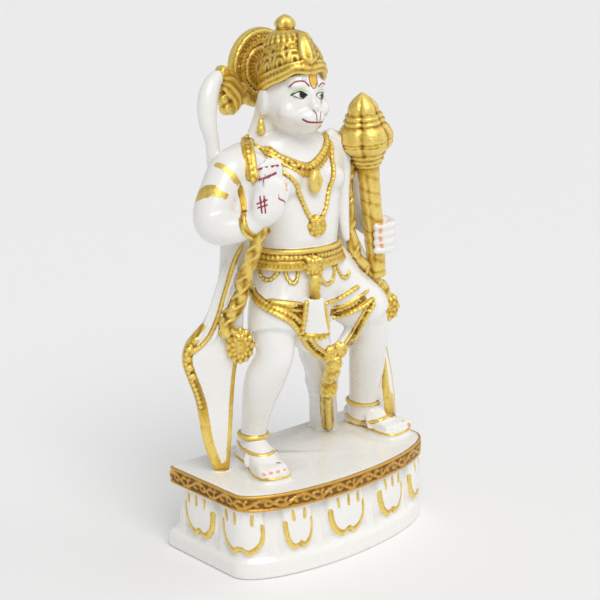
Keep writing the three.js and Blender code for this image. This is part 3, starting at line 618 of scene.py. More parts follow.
for r, spacing, size in ((14.9, 1.5, 0.55), (9.4, 1.5, 0.6)):
    beads([on_halo(r, angle) for angle in rim_angle], spacing, size)
for inner, outer, count, thick in ((15.9, 18.1, 56, 0.6), (11.2, 14, 44, 0.6), (4, 8.6, 26, 0.7)):
    for angle in np.arange(count) * 2 * math.pi / count:
        steps = enumerate(np.linspace(inner, outer, 4))
        hatch = [on_halo(r, angle + 0.06 * k) - (0, 0.3, 0) for k, r in steps]
        gold.append(tube(hatch, thick, 6))
for x, z, r in TUFT_CURLS:
    coil = [(r * (1 - 0.8 * k), 5 + 9 * k) for k in np.linspace(0, 1, 14)]
    curl = [grid((x + s * math.cos(a), 17.4 + s * s * 0.14, z + s * math.sin(a))) for s, a in coil]
    gold.append(tube(curl, 0.5, 8))

# The mace in the left hand: a ribbed melon head between collars, on a shaft wound with a spiral band.
# Gold, with brown painted shade in the grooves.
MACE_FOOT = (37.2, -9, 85.4)
MACE_TIP = (21.5, -12, 178)
staff = [(0.2, 0), (3.8, 0.4), (4.6, 2.2), (4.1, 4), (4.5, 6), (4.8, 20), (5, 36)]
staff += [(5.2, 50), (5.5, 57), (6.2, 57.6), (7, 58.6), (6.4, 59.4), (7.8, 60), (8.2, 60.8), (7.4, 61.6)]
staff += [(8.6, 62.6), (9, 63.4), (8.6, 64.2), (10.4, 65.6), (12, 67.6)]
staff += [(12.4, 68.6), (11.9, 69.2), (12.7, 70), (12.1, 70.8), (12.8, 71.6)]
staff += [(12.4, 73.2), (11, 76.4), (9, 78.4), (9.6, 79.2), (9.6, 80), (8.2, 80.8), (8.8, 81.8)]
staff += [(8.3, 82.8), (7.2, 83.2), (7.1, 85.4), (5.8, 88.2), (3.2, 91), (0.2, 93.4)]
SEAM = 0.86


def mace_form(angle, h):
    head = np.interp(h, [61, 65, 92, 93], [0, 1, 1, 0])
    wound = np.interp(h, [6, 10, 52, 56], [0, 1, 1, 0])
    off = (angle - SEAM + math.pi) % (2 * math.pi) - math.pi
    lobe = (off + math.pi / 5) % (2 * math.pi / 5) - math.pi / 5
    swell = 1 + 0.06 * head - 0.2 * head * np.exp(-abs(lobe) / 0.13)
    cuts = abs(np.cos(0.44 * h + 0.9 * off + 0.4 * np.sin(0.3 * h))) ** 0.5
    return swell + 0.12 * wound * (cuts - 0.8 - 0.8 * np.exp(-((off / 0.16) ** 2)))


gold.append(turned(evenly(spline(staff, 6), 260), MACE_FOOT, MACE_TIP, 120, mace_form))

# The white casting so far, fused into one skin and softened as the mould and the paint leave it.
# Fingers and toes keep more of their form than the body does.


def mesh_of(parts, name):
    faces = []
    base = 0
    for places, sides in parts:
        faces += [[i + base for i in side] for side in sides]
        base += len(places)
    mesh = bpy.data.meshes.new(name)
    mesh.from_pydata(np.vstack([places for places, _ in parts]).tolist(), [], faces)
    return mesh


def fused(parts, name, grain):
    thing = bpy.data.objects.new(name, mesh_of(parts, name))
    scene.collection.objects.link(thing)
    fuse = thing.modifiers.new("fuse", "REMESH")
    fuse.mode = "VOXEL"
    fuse.voxel_size = grain
    return settled(thing)


def settled(thing):
    mesh = bpy.data.meshes.new_from_object(thing.evaluated_get(bpy.context.evaluated_depsgraph_get()))
    thing.modifiers.clear()
    thing.data = mesh
    return thing


def soften(thing, passes, weights=None):
    smooth = thing.modifiers.new("soften", "SMOOTH")
    smooth.factor = 0.5
    smooth.iterations = passes
    if weights is not None:
        group = thing.vertex_groups.new(name="soft")
        for weight in np.unique(weights):
            group.add(np.nonzero(weights == weight)[0].tolist(), float(weight), "REPLACE")
        smooth.vertex_group = "soft"
    return settled(thing)


shell_grain = 0.7 if FINE else 1.0
shell = fused(white, "white_casting", shell_grain)
skin_at = shape_of(shell.data)[0]
FREE = 0.8
FIRM = 0.2
weights = np.full(len(skin_at), FREE)
KEPT_CRISP = (((-45, -22, 143), 15), ((38, -13, 107), 13), ((-37, -17, 5), 11), ((50.5, -14, 5), 11))
for middle, reach in KEPT_CRISP:
    weights[np.linalg.norm(skin_at - grid(middle), axis=1) < reach] = FIRM
weights[skin_at[:, 2] < TOP + 0.6] = FIRM
soften(shell, 10 if FINE else 5, weights)
touch = BVHTree.FromObject(shell, bpy.context.evaluated_depsgraph_get())


def hug(points, lift):
    path = spline(points, 8)
    path = evenly(path[:, :3], max(6, int(np.linalg.norm(np.diff(path[:, :3], axis=0), axis=1).sum())))
    laid = []
    for point in path:
        spot, normal, _, _ = touch.find_nearest(Vector(point))
        laid.append(np.array(spot + normal * lift))
    laid = np.array(laid)
    laid[1:-1] = (laid[:-2] + 2 * laid[1:-1] + laid[2:]) / 4
    return laid


# Fine work is laid where the photograph's camera sees it on the casting, in paint or low relief.
# A mark is its place in the picture, across and down, and lands on the skin that the camera sees there,
# or on the skin nearest that line of sight.
EYE = cam.location * 1000
AIM = SIGHT.normalized()
ACROSS = AIM.cross(Vector((0, 0, 1))).normalized()
UPRIGHT = ACROSS.cross(AIM)
FRAME_MIDDLE = 300
FOCUS = 1455.47
FIRST_GUESS = 690.0


def seen(u, v):
    ray = (AIM * FOCUS + ACROSS * (u - FRAME_MIDDLE) + UPRIGHT * (FRAME_MIDDLE - v)).normalized()
    spot, normal, _, _ = touch.ray_cast(EYE, ray)
    if spot is None:
        far = FIRST_GUESS
        for _ in range(4):
            spot, normal, _, _ = touch.find_nearest(EYE + ray * far)
            far = (spot - EYE).dot(ray)
    return np.array(spot), np.array(normal)


def traced(marks, lift=0.0):
    path = evenly(spline(marks, 6), len(marks) * 6)
    laid = []
    for u, v in path:
        spot, normal = seen(u, v)
        laid.append(spot + normal * lift)
    laid = np.array(laid)
    laid[1:-1] = (laid[:-2] + 2 * laid[1:-1] + laid[2:]) / 4
    return laid


# Belt: a band between two cords, closed by a flower buckle over a strip and the small white apron.
# Braided swags hang from it, two on each side. All raised a little from the cloth, and gold.


def waist(z, grow):
    rows = spline(torso, 8)
    x, y, half, deep = (np.interp(z, rows[:, 2], rows[:, i]) for i in (0, 1, 3, 4))
    angle = np.linspace(0, 2 * math.pi, 120, endpoint=False)
    out = np.array(BODY_FACING) / np.linalg.norm(BODY_FACING)
    side = np.array((out[1], -out[0], 0))
    ring = np.outer(np.cos(angle) * (half + grow), side) + np.outer(np.sin(angle) * (deep + grow), out)
    return grid(ring + (x, y, z))


gold.append(skin([waist(100.4, -1), waist(100.6, 1.3), waist(104, 1.7), waist(107.8, 1.4), waist(108, -1)]))
gold.append(tube(loop(waist(108.2, 1.1)), 1.25))
gold.append(tube(loop(waist(100.4, 1.2)), 1.1))
gold.append(tube(loop(waist(103, 1.7)), 0.6))
beads(loop(waist(105.6, 1.9)), 2.2, 0.95)
beads(loop(waist(101.7, 1.9)), 1.9, 0.7)
egg, egg_sides = lump((0, 0, -TOP), (1, 1, 1), sides=14, rows=9)


def flower(centre, normal, radius, petals, tall=1.0):
    out = np.asarray(normal, float) / np.linalg.norm(normal)
    side = np.cross((0, 0, 1), out)
    side /= np.linalg.norm(side)
    up = np.cross(out, side) * tall
    ground = egg @ np.array([side * radius * 0.94, up * radius * 0.94, out * radius * 0.3])
    gold.append((centre + ground, egg_sides))
    rows = [(petals, 0.72, 0.26, 0.1, 0), (petals, 0.46, 0.2, 0.26, 0.5)]
    rows += [(petals - 2, 0.22, 0.14, 0.34, 0), (1, 0, 0.12, 0.38, 0)]
    for count, reach, size, height, shift in rows:
        for i in range(count):
            angle = 2 * math.pi * (i + shift) / count
            ray = math.cos(angle) * side + math.sin(angle) * up
            cross = math.cos(angle) * up - math.sin(angle) * side
            thin = min(1.05, 2.8 * reach / count / size) if count > 1 else 1
            petal = egg @ np.array([ray * size, cross * size * thin, out * size * 0.8]) * radius
            gold.append((centre + (ray * reach + out * height) * radius + petal, egg_sides))


FRONT = (-0.6, -0.8, 0)
flower(grid((-15.4, -19.4, 101.5)), FRONT, 5.4, 8)
flower(grid((-15.6, -20.4, 94.4)), FRONT, 3.3, 6)
strip = [(-15.8, -20, 95, 2.5, 1.7), (-16, -20.4, 90, 2.4, 1.7), (-16.4, -20.6, 85, 2.6, 1.7)]
gold.append(limb(strip, (0.6, 0.8, 0), square=0.7))
for z in (92.6, 90.4, 88.2, 86):
    gold.append(tube([grid((x, -21.4 - 0.75 * (x + 16), z)) for x in (-18, -17, -16, -15, -14)], 0.65))
apron = [(-16.4, -20.4, 86, 4.4, 2.2), (-16.2, -20.2, 79, 5.6, 2.4), (-16, -19.6, 72, 7, 2.6)]
apron += [(-16, -19.4, 69.5, 7.2, 2.5)]
late_white = [limb(apron, (0.5, 0.86, 0), dome=0.3, square=0.7)]
fringe = [(-22.6, -17.2, 69.4), (-19.6, -20.2, 68.2), (-16, -22.2, 67.8), (-12.4, -23, 68.2)]
fringe += [(-9.4, -22.4, 69)]
gold.append(tube(spline([grid((x, y, z + 0.9)) for x, y, z in fringe], 4), 0.9))
beads(spline([grid((x, y - 0.3, z - 0.8)) for x, y, z in fringe], 4), 2.3, 1.25)
near_edge = [(-20.8, -19.2, 86), (-21.8, -19.4, 78), (-22.8, -18.6, 70)]
far_edge = [(-13, -23.6, 85), (-11.8, -24.4, 78), (-10, -24, 70)]
for edge, thick in ((near_edge, 1.2), (far_edge, 0.8)):
    gold.append(tube(spline([grid(p) for p in edge], 5), thick))
beads([grid((-21, -20, 85)), grid((-22, -20.2, 78)), grid((-22.8, -19.4, 71))], 2.2, 1.2)
SWAGS = [[(259, 262), (259, 271), (264, 279), (272, 279), (278, 272), (280, 264)]]
SWAGS += [[(284, 266), (286, 275), (291, 283), (296, 282), (298, 274), (299, 267)]]
SWAGS += [[(320, 272), (321, 279), (326, 284), (332, 281), (334, 273), (333, 264)]]
SWAGS += [[(335, 263), (338, 270), (343, 277), (347, 277), (349, 272)]]
for marks in SWAGS:
    path = traced(marks, 0.3)
    gold.append(tube(path, 0.65))
    beads(path + (-0.3, -0.3, 0), 2.0, 1.0)

# Hems of the loincloth: corded bands that meet in the knot of three flowers between the thighs.
# A beaded tassel hangs from the knot over the white prop.
right_hem = [(249, 283), (251, 293), (260, 304), (275, 313), (290, 321), (300, 334)]
right_hem += [(307, 345), (315, 353), (324, 357)]
right_inner = [(254, 285), (257, 294), (266, 303), (280, 310), (294, 316), (302, 325)]
right_inner += [(309, 337), (316, 346), (325, 352)]
HEM_CORDS = [(right_hem, 1.3), (right_inner, 1.0)]
HEM_CORDS += [([(268, 300), (282, 302), (302, 304)], 0.9), ([(276, 308), (290, 310), (302, 311)], 0.6)]
HEM_CORDS += [([(326, 302), (336, 299), (347, 293), (358, 286)], 1.1)]
HEM_CORDS += [([(334, 316), (350, 312), (364, 305), (373, 298)], 1.2)]
HEM_CORDS += [([(330, 308), (346, 304), (360, 296), (369, 290)], 0.8)]
HEM_CORDS += [([(374, 303), (364, 320), (354, 338), (346, 350)], 1.2)]
HEM_CORDS += [([(370, 301), (360, 318), (351, 334), (343, 346)], 0.8)]
for marks, thick in HEM_CORDS:
    path = traced(marks, 0.5)
    gold.append(tube(path, thick * 0.85))
    if thick > 0.95:
        beads(path + (-0.5, -0.5, -0.4), 2.1, thick * 0.85)
HEM_FILLS = [([(270, 304), (286, 307), (300, 308)], 1.6, 7), ([(332, 312), (348, 307), (363, 300)], 1.7, 7)]
HEM_FILLS += [([(253, 292), (264, 303), (279, 312), (292, 318), (301, 330), (308, 342), (318, 352)], 1.3, 0)]
HEM_FILLS += [([(372, 302), (362, 319), (352.5, 336), (344, 348)], 1.0, 0)]
HEM_FILLS += [([(292, 313), (299, 315)], 1.0, 0)]
for marks, half_width, curls in HEM_FILLS:
    middle = traced(marks, 0.1)
    painted.append((middle, half_width + 0.6))
    for i in range(curls):
        at = middle[2 + i * (len(middle) - 4) // curls]
        curl = []
        for a in np.linspace(0, 1.5 * math.pi, 9):
            ray = np.array([0.74 * math.cos(a), -0.68 * math.cos(a), math.sin(a)])
            curl.append(at + ray * half_width * (1 - 0.1 * a) + (-0.4, -0.4, 0))
        gold.append(tube(curl, 0.5, 8))
hem_behind = [(-34, 5, 88), (-30, 13, 86), (-16, 16.5, 82), (0, 16, 80)]
hem_behind += [(16, 12, 80), (30, 6, 80), (38, -2, 78)]
gold.append(tube(hug([grid(p) for p in hem_behind], 0.2), 1.3))
for x, y, z, size in ((0.4, -12.4, 54.2, 4.5), (7.6, -12.6, 54.6, 4.5), (4.8, -12.2, 48.4, 4.4)):
    flower(grid((x, y, z)), (-0.62, -0.76, 0.1), size, 7)
tassel = [(8, -7, 45, 2.8, 3), (11.5, -2, 38, 3.6, 3.2), (14.6, 2.6, 33.4, 2.8, 3), (18, 6.4, 27.4, 4.2, 3.4)]
tassel += [(21.6, 10.6, 21.4, 3, 3), (26, 14.6, 11, 3.2, 3.2), (30.6, 18.6, 1, 3, 3)]
gold.append(limb(tassel, shape=lambda angle, t: 1 + 0.07 * np.cos(5 * angle) + 0.05 * np.cos(60 * t)))
flower(grid((9.4, -6.8, 41.5)), (-0.6, -0.8, 0.2), 3.9, 6)
flower(grid((15.4, 1.8, 30)), (-0.6, -0.8, 0.2), 4.4, 6, 1.3)
beads([grid((17.4, 4.6, 22)), grid((21.6, 9, 14)), grid((27, 14, 3))], 2.2, 1.7)

# The shawl's edges: a thick gold fold down the right side to an oval flower, a finer one at the left.
# The hanging ends are white between gold borders, with beads where the right one spreads. Both folds
# are twisted like rope, and three cords with beads lie over the right shoulder.
SHOULDER = [(247, 137), (247.5, 146), (249, 158), (251, 170), (253, 181)]
shoulder = traced(SHOULDER, 0.1)
gold += [tube(shoulder + (s * 0.75, -s * 0.66, 0), 1.2) for s in (-1.8, 0, 1.8)]
beads(shoulder + (-0.6, -0.6, 0.2), 2.8, 1.1, 1.3)
right_fold = [(-41, -10, 130, 2.4, 2.4), (-40.6, -10.4, 122, 2.8, 3), (-40.6, -7, 112, 2.8, 3)]
right_fold += [(-41, -2.4, 102, 2.8, 3), (-41.4, 1.2, 92, 3, 3), (-43, 3.4, 83, 3.2, 3)]
right_fold += [(-47, 5.4, 77, 3.2, 3), (-49, 5, 70, 2.8, 2.8)]


def rolled(angle, t):
    tied = sum(np.exp(-(((t - k) / 0.015) ** 2)) for k in (0.3, 0.6, 0.85))
    return 1 + 0.16 * np.cos(2 * angle + 34 * t) + 0.1 * abs(np.cos(3 * angle + 14 * t)) - 0.2 * tied


def twisted(stations, pitch, thick, start=0.0):
    line = evenly(spline(stations, 8), 160)
    along = np.gradient(line[:, :3], axis=0)
    along /= np.linalg.norm(along, axis=1, keepdims=True)
    side = np.cross(along, (0.6, 0.8, 0))
    side /= np.linalg.norm(side, axis=1, keepdims=True)
    run = np.r_[0, np.cumsum(np.linalg.norm(np.diff(line[:, :3], axis=0), axis=1))]
    angle = (start + run * 2 * math.pi / pitch)[:, None]
    round_it = np.cos(angle) * side + np.sin(angle) * np.cross(along, side)
    gold.append(tube(grid(line[:, :3] + line[:, 3:4] * round_it), thick, 8))


gold.append(limb(right_fold, sides=48, steps=14, shape=rolled))
for start in (0, 2.1, 4.2):
    twisted(right_fold, 26, 0.75, start)
left_fold = [(20, -5, 151, 0.8, 0.8), (21, -6, 143, 1.6, 1.6), (21, -5, 131, 2, 2), (20, -6.6, 117, 2.2, 2.2)]
left_fold += [(21.6, -7, 105, 2.6, 2.6), (25, -8, 96, 2.8, 2.8), (31, -8, 89, 2.8, 2.8)]
left_fold += [(42, -6, 79.5, 3.2, 3), (47, -5, 73, 3, 3)]
gold.append(limb(left_fold, sides=48, steps=14, shape=rolled))
twisted(left_fold, 12, 0.75)
white_fold = [(8, -4, 158, 4, 3), (13, -6, 152, 3.6, 3), (15.6, -7.4, 143, 3, 2.6), (15.4, -7, 131, 3, 2.6)]
white_fold += [(14.6, -8, 118, 3, 2.4), (15, -9, 108, 2, 2)]
late_white.append(limb(white_fold))
flower(grid((-43.4, 1.2, 64.4)), (-0.55, -0.83, 0), 7.2, 12, 1.3)
flower(grid((50, -3.6, 66.6)), (-0.5, -0.86, 0.1), 6.8, 9, 1.2)


def border(stations, facing, side, inward, first):
    line = spline(stations, 6)
    along = np.gradient(line[:, :3], axis=0)
    along /= np.linalg.norm(along, axis=1, keepdims=True)
    depth = np.asarray(facing, float) - along * (along @ np.asarray(facing, float))[:, None]
    depth /= np.linalg.norm(depth, axis=1, keepdims=True)
    edge = line[:, :3] + side * np.cross(depth, along) * (line[:, 3:4] - inward) - depth * FACE_DEPTH
    edge = edge[edge[:, 2] > LOWEST]
    return grid(edge)[first:]


RIGHT_FACING = (0.48, 0.87, 0)
LEFT_FACING = (-0.3, 0.95, 0)
OUTER_X = -52
FACE_DEPTH = 2.1
LOWEST = 3
for side in (-1, 1):
    rims = border(right_end, RIGHT_FACING, side, 0.8, 20)
    painted.append((rims, 1.8))
    if rims[:, 0].mean() < OUTER_X:
        inner_line = border(right_end, RIGHT_FACING, side, 3, 26)
        painted.append((inner_line, 1.9))
        beads(inner_line[:-16], 3.8, 1.5, 1.2)
        beads(inner_line[3:-10] + (-1.4, 0.3, 0), 2.2, 1.0)
    painted.append((border(left_end, LEFT_FACING, side, 1.6, 8), 2.2))
END_FOOT = ((-50.4, 12, 2.6), (-47.9, 10.2, 2), (-45.2, 8.4, 2.6))
END_PANEL = ((52.6, 0.4, 22), (53.6, -2, 14), (54, -3, 6))
painted.append(([grid(p) for p in END_FOOT], 1.9))
painted.append(([grid(p) for p in END_PANEL], 5))
FOLD_LINE = [(243, 244), (234, 262), (225, 292), (216, 322), (205, 342), (188, 356)]
gold.append(tube(traced(FOLD_LINE, 0.2), 0.95))
FOLD_RIDGES = [[(238, 262), (228, 292), (220, 322), (212, 344)]]
FOLD_RIDGES += [[(226, 262), (217, 290), (208, 318), (197, 344)]]
late_white += [tube(traced(marks, 0.1), 1.0) for marks in FOLD_RIDGES]

# Arms and feet: an armband, a shawl line and the bracelet's ground, brushed on in gold a little uneven.
# The bracelet's rims, the anklets and the straps' edges are raised cords, gold too.
BRUSHED = [([(198, 195.5), (205, 191.5), (214, 191.5)], 3.1), ([(213, 192.5), (219, 194), (226, 196.5)], 1.7)]
BRUSHED += [([(225, 197), (229, 198.5), (234, 200)], 1.0), ([(216, 164.5), (222, 166.5), (229, 171)], 1.3)]
BRUSHED += [([(226, 169), (232, 174.5), (237, 182), (241, 192)], 1.6)]
BRUSHED += [([(240, 190), (243.5, 204), (243.5, 218)], 1.4)]
BRUSHED += [([(277, 463), (280, 463)], 0.7), ([(402, 421), (405, 421)], 0.6)]
for marks, half_width in BRUSHED:
    painted.append((traced(marks), half_width))
STRAP_EDGES = [[(237, 440), (243, 449), (256, 455), (268, 455), (276, 450)]]
STRAP_EDGES += [[(345, 413), (358, 421), (374, 422), (389, 416)]]
gold += [tube(traced(marks, 0.1), 0.8) for marks in STRAP_EDGES]
ANKLETS = ((-28.2, 10, 14.6, 6.9), (45.4, 8, 15, 8.1))
turn = np.linspace(0, 2 * math.pi, 60)
for x, y, z, r in ANKLETS:
    gold.append(tube(grid(np.c_[x + r * np.cos(turn), y + r * np.sin(turn), np.full(60, z)]), 1.2))
BRACELET = [(243, 218), (244, 228), (250, 235), (259, 236.5), (267, 230)]
bracelet = traced(BRACELET)
painted.append((bracelet, 1.9))
gold += [tube(bracelet + (s * 0.5, 0, s * 1.2), 0.75) for s in (-1, 1)]

# Necklaces: a broad collar with a drop, and a long beaded garland that ends in a flower pendant.
# Raised from the chest, gold. Short leaves hang all along under the collar.
collar = [(-32.6, -1, 159.5), (-30, -5, 157), (-26, -10, 153), (-20, -14, 149), (-13, -15.6, 146.4)]
collar += [(-5, -13.6, 149.6), (2, -9, 154), (6, -4, 159)]
for rise, thick in ((1.9, 0.85), (0, 0.6), (-1.5, 0.7)):
    gold.append(tube(hug([grid(p) + (0, 0, rise) for p in collar], 0.3), thick))
beads(hug([grid(p) + (0, 0, 0.2) for p in collar], 1.0), 2.1, 0.85)
upper, lower = (hug([grid(p) + (0, 0, rise) for p in collar], 0.7) for rise in (-1.4, -4.2))
for near_top, near_foot in zip(evenly(upper, 30)[2:-2], evenly(lower, 30)[2:-2]):
    small = [near_top, near_top * 0.6 + near_foot * 0.4, near_top * 0.2 + near_foot * 0.8, near_foot]
    gold.append(tube(small, 0.7, 8))
garland = [(-32, -6, 152), (-28, -13, 146), (-22, -17, 139), (-18, -17.6, 128), (-13, -17.6, 121)]
garland += [(-7, -17.6, 126), (-2.4, -17.4, 137), (1.6, -13.4, 147), (5, -8, 154)]
string = hug([grid(p) for p in garland], 0.4)
gold.append(tube(string, 0.8))
beads(string + (-0.2, -0.3, 0), 2.3, 1.25)
drop = [(-13, -17, 144.6, 2.2, 1.8), (-13, -17.6, 141, 3.8, 2.2)]
drop += [(-13, -17.6, 137.4, 3, 2), (-13, -17.2, 134.6, 1, 1)]
gold.append(limb(drop, shape=lambda angle, t: 1 + 0.06 * np.cos(6 * angle)))
flower(grid((-12.8, -18.4, 119.8)), (-0.4, -0.9, 0.1), 5, 8, 1.1)
flower(grid((-12.8, -18.6, 141)), (-0.4, -0.9, 0.1), 2.8, 6, 1.2)

# The plinth's rim: a running scroll of vine and curled leaves in low relief, in a darker bronze gold.
# It goes round the bowed front and the sides, up to the same reach from the front's middle.
REACH = 117
MIDWAY = BAND_FOOT + BAND / 2
WAVE = 3.1
vine = [on_wall(a, MIDWAY + 1.9 * math.sin(a / WAVE), 0.25) for a in np.arange(-REACH, REACH, 0.8)]
gold.append(tube(vine, 0.8, 8))
for level_z in (BAND_FOOT + 0.9, TOP - 0.9):
    gold.append(tube([on_wall(a, level_z, 0.25) for a in np.arange(-REACH, REACH, 1.5)], 0.75, 8))
for i in range(-12, 13):
    middle = i * WAVE * math.pi
    for sign in (-1, 1):
        curl = []
        for k in np.linspace(0, 1, 12):
            angle = sign * (0.5 + 4.4 * k)
            r = 2.4 * (1 - 0.72 * k)
            height = MIDWAY - sign * 0.5 + r * math.sin(angle) * 0.85
            curl.append(on_wall(middle + sign * 2.6 + r * math.cos(angle), height, 0.3))
        gold.append(tube(curl, 0.7, 8))

# Brushed colour: fine lines on the face and the raised palm, and soft orange on the nails.
# Each stroke is a path on the skin, a half width in millimetres and a colour.
CRIMSON, INK, SUN = (0.3, 0.004, 0.03), (0.004, 0.004, 0.004), (0.86, 0.5, 0.03)
LEAF, CORAL = (0.5, 0.72, 0.16), (0.86, 0.4, 0.2)
STROKES = (
    (SUN, 1.25, [(312, 76), (313, 84)]),
    (SUN, 0.9, [(315, 76), (314.5, 84)]),
    (CRIMSON, 0.3, [(309, 75), (310, 83), (313.5, 88.5), (317, 84), (316.5, 75)]),
    (CRIMSON, 0.42, [(289, 87), (294, 82.5), (300, 81), (305, 82), (309, 86)]),
    (CRIMSON, 0.38, [(319, 86.5), (322, 83), (324.5, 84), (326, 87)]),
    (LEAF, 0.35, [(291, 94), (296, 90.5), (301, 89), (307, 91.5)]),
    (LEAF, 0.32, [(317, 92), (320.5, 89.8), (325, 90)]),
    (CORAL, 0.45, [(294.5, 96.6), (297, 97.4)]),
    (INK, 1.35, [(301.8, 94.8), (303, 95.2)]),
    (INK, 0.42, [(291, 95.2), (296.5, 92.6), (301.5, 91.6), (306.8, 95)]),
    (INK, 0.2, [(291.5, 95.2), (298.5, 98.2), (304, 98.4), (306.8, 95)]),
    (INK, 1.15, [(322, 95.6), (323, 96.2)]),
    (INK, 0.3, [(316, 95), (319, 92.6), (322.5, 92.2), (325.5, 93.6)]),
    (INK, 0.2, [(316, 95), (319, 98), (323, 99)]),
    (CRIMSON, 0.28, [(313, 110), (316.5, 114.5), (317, 121)]),
    (CRIMSON, 0.25, [(321, 111.5), (320, 121.5)]),
    (CRIMSON, 0.52, [(303, 119.5), (308, 122), (316, 122.6), (325.5, 122)]),
    (CRIMSON, 0.4, [(260, 197), (262, 213)]),
    (CRIMSON, 0.4, [(264, 196), (265.5, 213)]),
    (CRIMSON, 0.38, [(257, 204), (267, 200)]),
    (CRIMSON, 0.38, [(258, 208), (267, 205)]),
    (CRIMSON, 0.5, [(258, 169.5), (266, 167.5), (278, 165.5)]),
    (CRIMSON, 0.6, [(256, 180.5), (265, 178), (276, 173)]),
    (CRIMSON, 0.4, [(279, 198.5), (285, 202)]),
    (CORAL, 0.4, [(286, 184), (287, 190.5)]),
    (CORAL, 1.0, [(381, 219), (381, 224)]),
    (CORAL, 0.9, [(380.5, 230), (380.5, 232)]),
    (CORAL, 0.9, [(380.5, 238), (380.5, 240)]),
    (CORAL, 0.8, [(381.5, 245), (382, 247)]),
    (CORAL, 0.8, [(409, 424), (410, 427)]),
    (CORAL, 0.7, [(263, 474), (265, 475)]),
    (CORAL, 0.7, [(270, 473), (272, 473)]),
    (CORAL, 0.7, [(277, 472), (278.5, 472)]),
    (CORAL, 0.6, [(284, 470), (285, 470)]),
    (CORAL, 0.6, [(289, 467), (289.5, 466.4)]),
)
strokes = []
for colour, half_width, marks in STROKES:
    length = sum(math.dist(a, b) for a, b in zip(marks[:-1], marks[1:]))
    path = [seen(u, v)[0] for u, v in evenly(spline(marks, 4), 3 + int(length))]
    strokes.append((colour, half_width, np.array(path)))

# The finished casting: white skin and gold relief fused once more, thinned to a mesh that keeps its form.
# What was gold stays known at each point, as a signed depth of gold over white in millimetres, and so do
# the strokes, with their colours. All are attributes of the mesh, for the paint to read.
MM = 0.001
TRIANGLES = 172000
STROKE_NEAR = 2.2
STROKE_LONG = 14
STROKE_OVER = 0.06
STROKE_FADE = 0.14
DEEP = 2.0
ROUNDING = 14
whole_white = fused([*white, *late_white], "white_whole", shell_grain)
soften(whole_white, 4 if FINE else 2)
gold_work = bpy.data.objects.new("gold_work", mesh_of(gold, "gold_work"))
scene.collection.objects.link(gold_work)
laid_gold = BVHTree.FromObject(gold_work, bpy.context.evaluated_depsgraph_get())
laid_white = BVHTree.FromObject(whole_white, bpy.context.evaluated_depsgraph_get())
grain = 0.48 if FINE else 0.9
casting = fused([shape_of(shell.data), *late_white, *gold], "hanuman_casting", grain)
soften(casting, 2)
triangles = 2 * len(casting.data.polygons)
if triangles > TRIANGLES:
    thin = casting.modifiers.new("thin", "DECIMATE")
    thin.ratio = TRIANGLES / triangles
    settled(casting)
stroke_points = []
for i, (_, _, path) in enumerate(strokes):
    stroke_points += [(point, i) for point in evenly(path, 3 * len(path))]
by_stroke = KDTree(len(stroke_points))
for point, i in stroke_points:
    by_stroke.insert(point, i)
by_stroke.balance()
finer = bmesh.new()
finer.from_mesh(casting.data)
for longest in (0.5, 0.25) if FINE else (0.5,):
    close = []
    for edge in finer.edges:
        a, b = edge.verts
        if (a.co - b.co).length > longest and by_stroke.find((a.co + b.co) / 2)[2] < 1.0:
            close.append(edge)
    bmesh.ops.subdivide_edges(finer, edges=close, cuts=1)
    bmesh.ops.triangulate(finer, faces=finer.faces[:])
finer.to_mesh(casting.data)
finer.free()
places, _ = shape_of(casting.data)
tint = np.zeros((len(places), 4))
tint[:, 3] = 1
tinted = np.zeros(len(places))
for i, place in enumerate(places):
    _, nearest, gap = by_stroke.find(place)
    if gap > STROKE_NEAR:
        continue
    tint[i, :3] = strokes[nearest][0]
    for colour, half_width, path in strokes:
        if np.abs(path[0] - place).max() > STROKE_LONG:
            continue
        starts, whole = path[:-1], path[1:] - path[:-1]
        share = np.clip(((place - starts) * whole).sum(1) / ((whole**2).sum(1) + 1e-9), 0, 1)
        aside = np.linalg.norm(place - starts - whole * share[:, None], axis=1).min()
        cover = np.clip((half_width + STROKE_OVER - aside) / STROKE_FADE, 0, 1)
        tint[i, :3] += (np.array(colour) - tint[i, :3]) * cover
        tinted[i] = max(tinted[i], cover)
normals = np.empty(len(places) * 3)
casting.data.vertices.foreach_get("normal", normals)
normals = normals.reshape(-1, 3)
brushed = []
for path, half_width in painted:
    count = max(3, int(np.linalg.norm(np.diff(path, axis=0), axis=1).sum() * 2))
    brushed += [(point, half_width) for point in evenly(path, count)]
near = KDTree(len(brushed))
for i, (point, _) in enumerate(brushed):
    near.insert(point, i)
near.balance()
gilt = np.empty(len(places))
for i, place in enumerate(places):
    to_gold = laid_gold.find_nearest(place)[3]
    to_white = laid_white.find_nearest(place)[3]
    _, dab, gap = near.find(place)
    gilt[i] = max(min(to_white, DEEP) - to_gold, brushed[dab][1] - gap)
band = np.minimum(places[:, 2] - BAND_FOOT - 0.2, TOP - 0.4 - places[:, 2])
gilt = np.maximum(gilt, band)
# How far each point lies in a hollow, against a rounded copy of the casting: the paint darkens hollows with
# it as painted shade and lightens raised parts as painted highlight.
rounded = casting.copy()
rounded.data = casting.data.copy()
scene.collection.objects.link(rounded)
soften(rounded, ROUNDING)
hollow = ((shape_of(rounded.data)[0] - places) * normals).sum(1)
for name, values in (("gilt", gilt), ("hollow", hollow), ("tinted", tinted)):
    held = casting.data.attributes.new(name, "FLOAT", "POINT")
    held.data.foreach_set("value", np.asarray(values, np.float32))
held = casting.data.attributes.new("tint", "FLOAT_COLOR", "POINT")
held.data.foreach_set("color", np.asarray(tint, np.float32).ravel())
for spare in (shell, whole_white, gold_work, rounded):
    bpy.data.objects.remove(spare)
casting.data.transform(Matrix.Scale(MM, 4))
casting.data.shade_smooth()
casting.name = "hanuman_painted_casting"
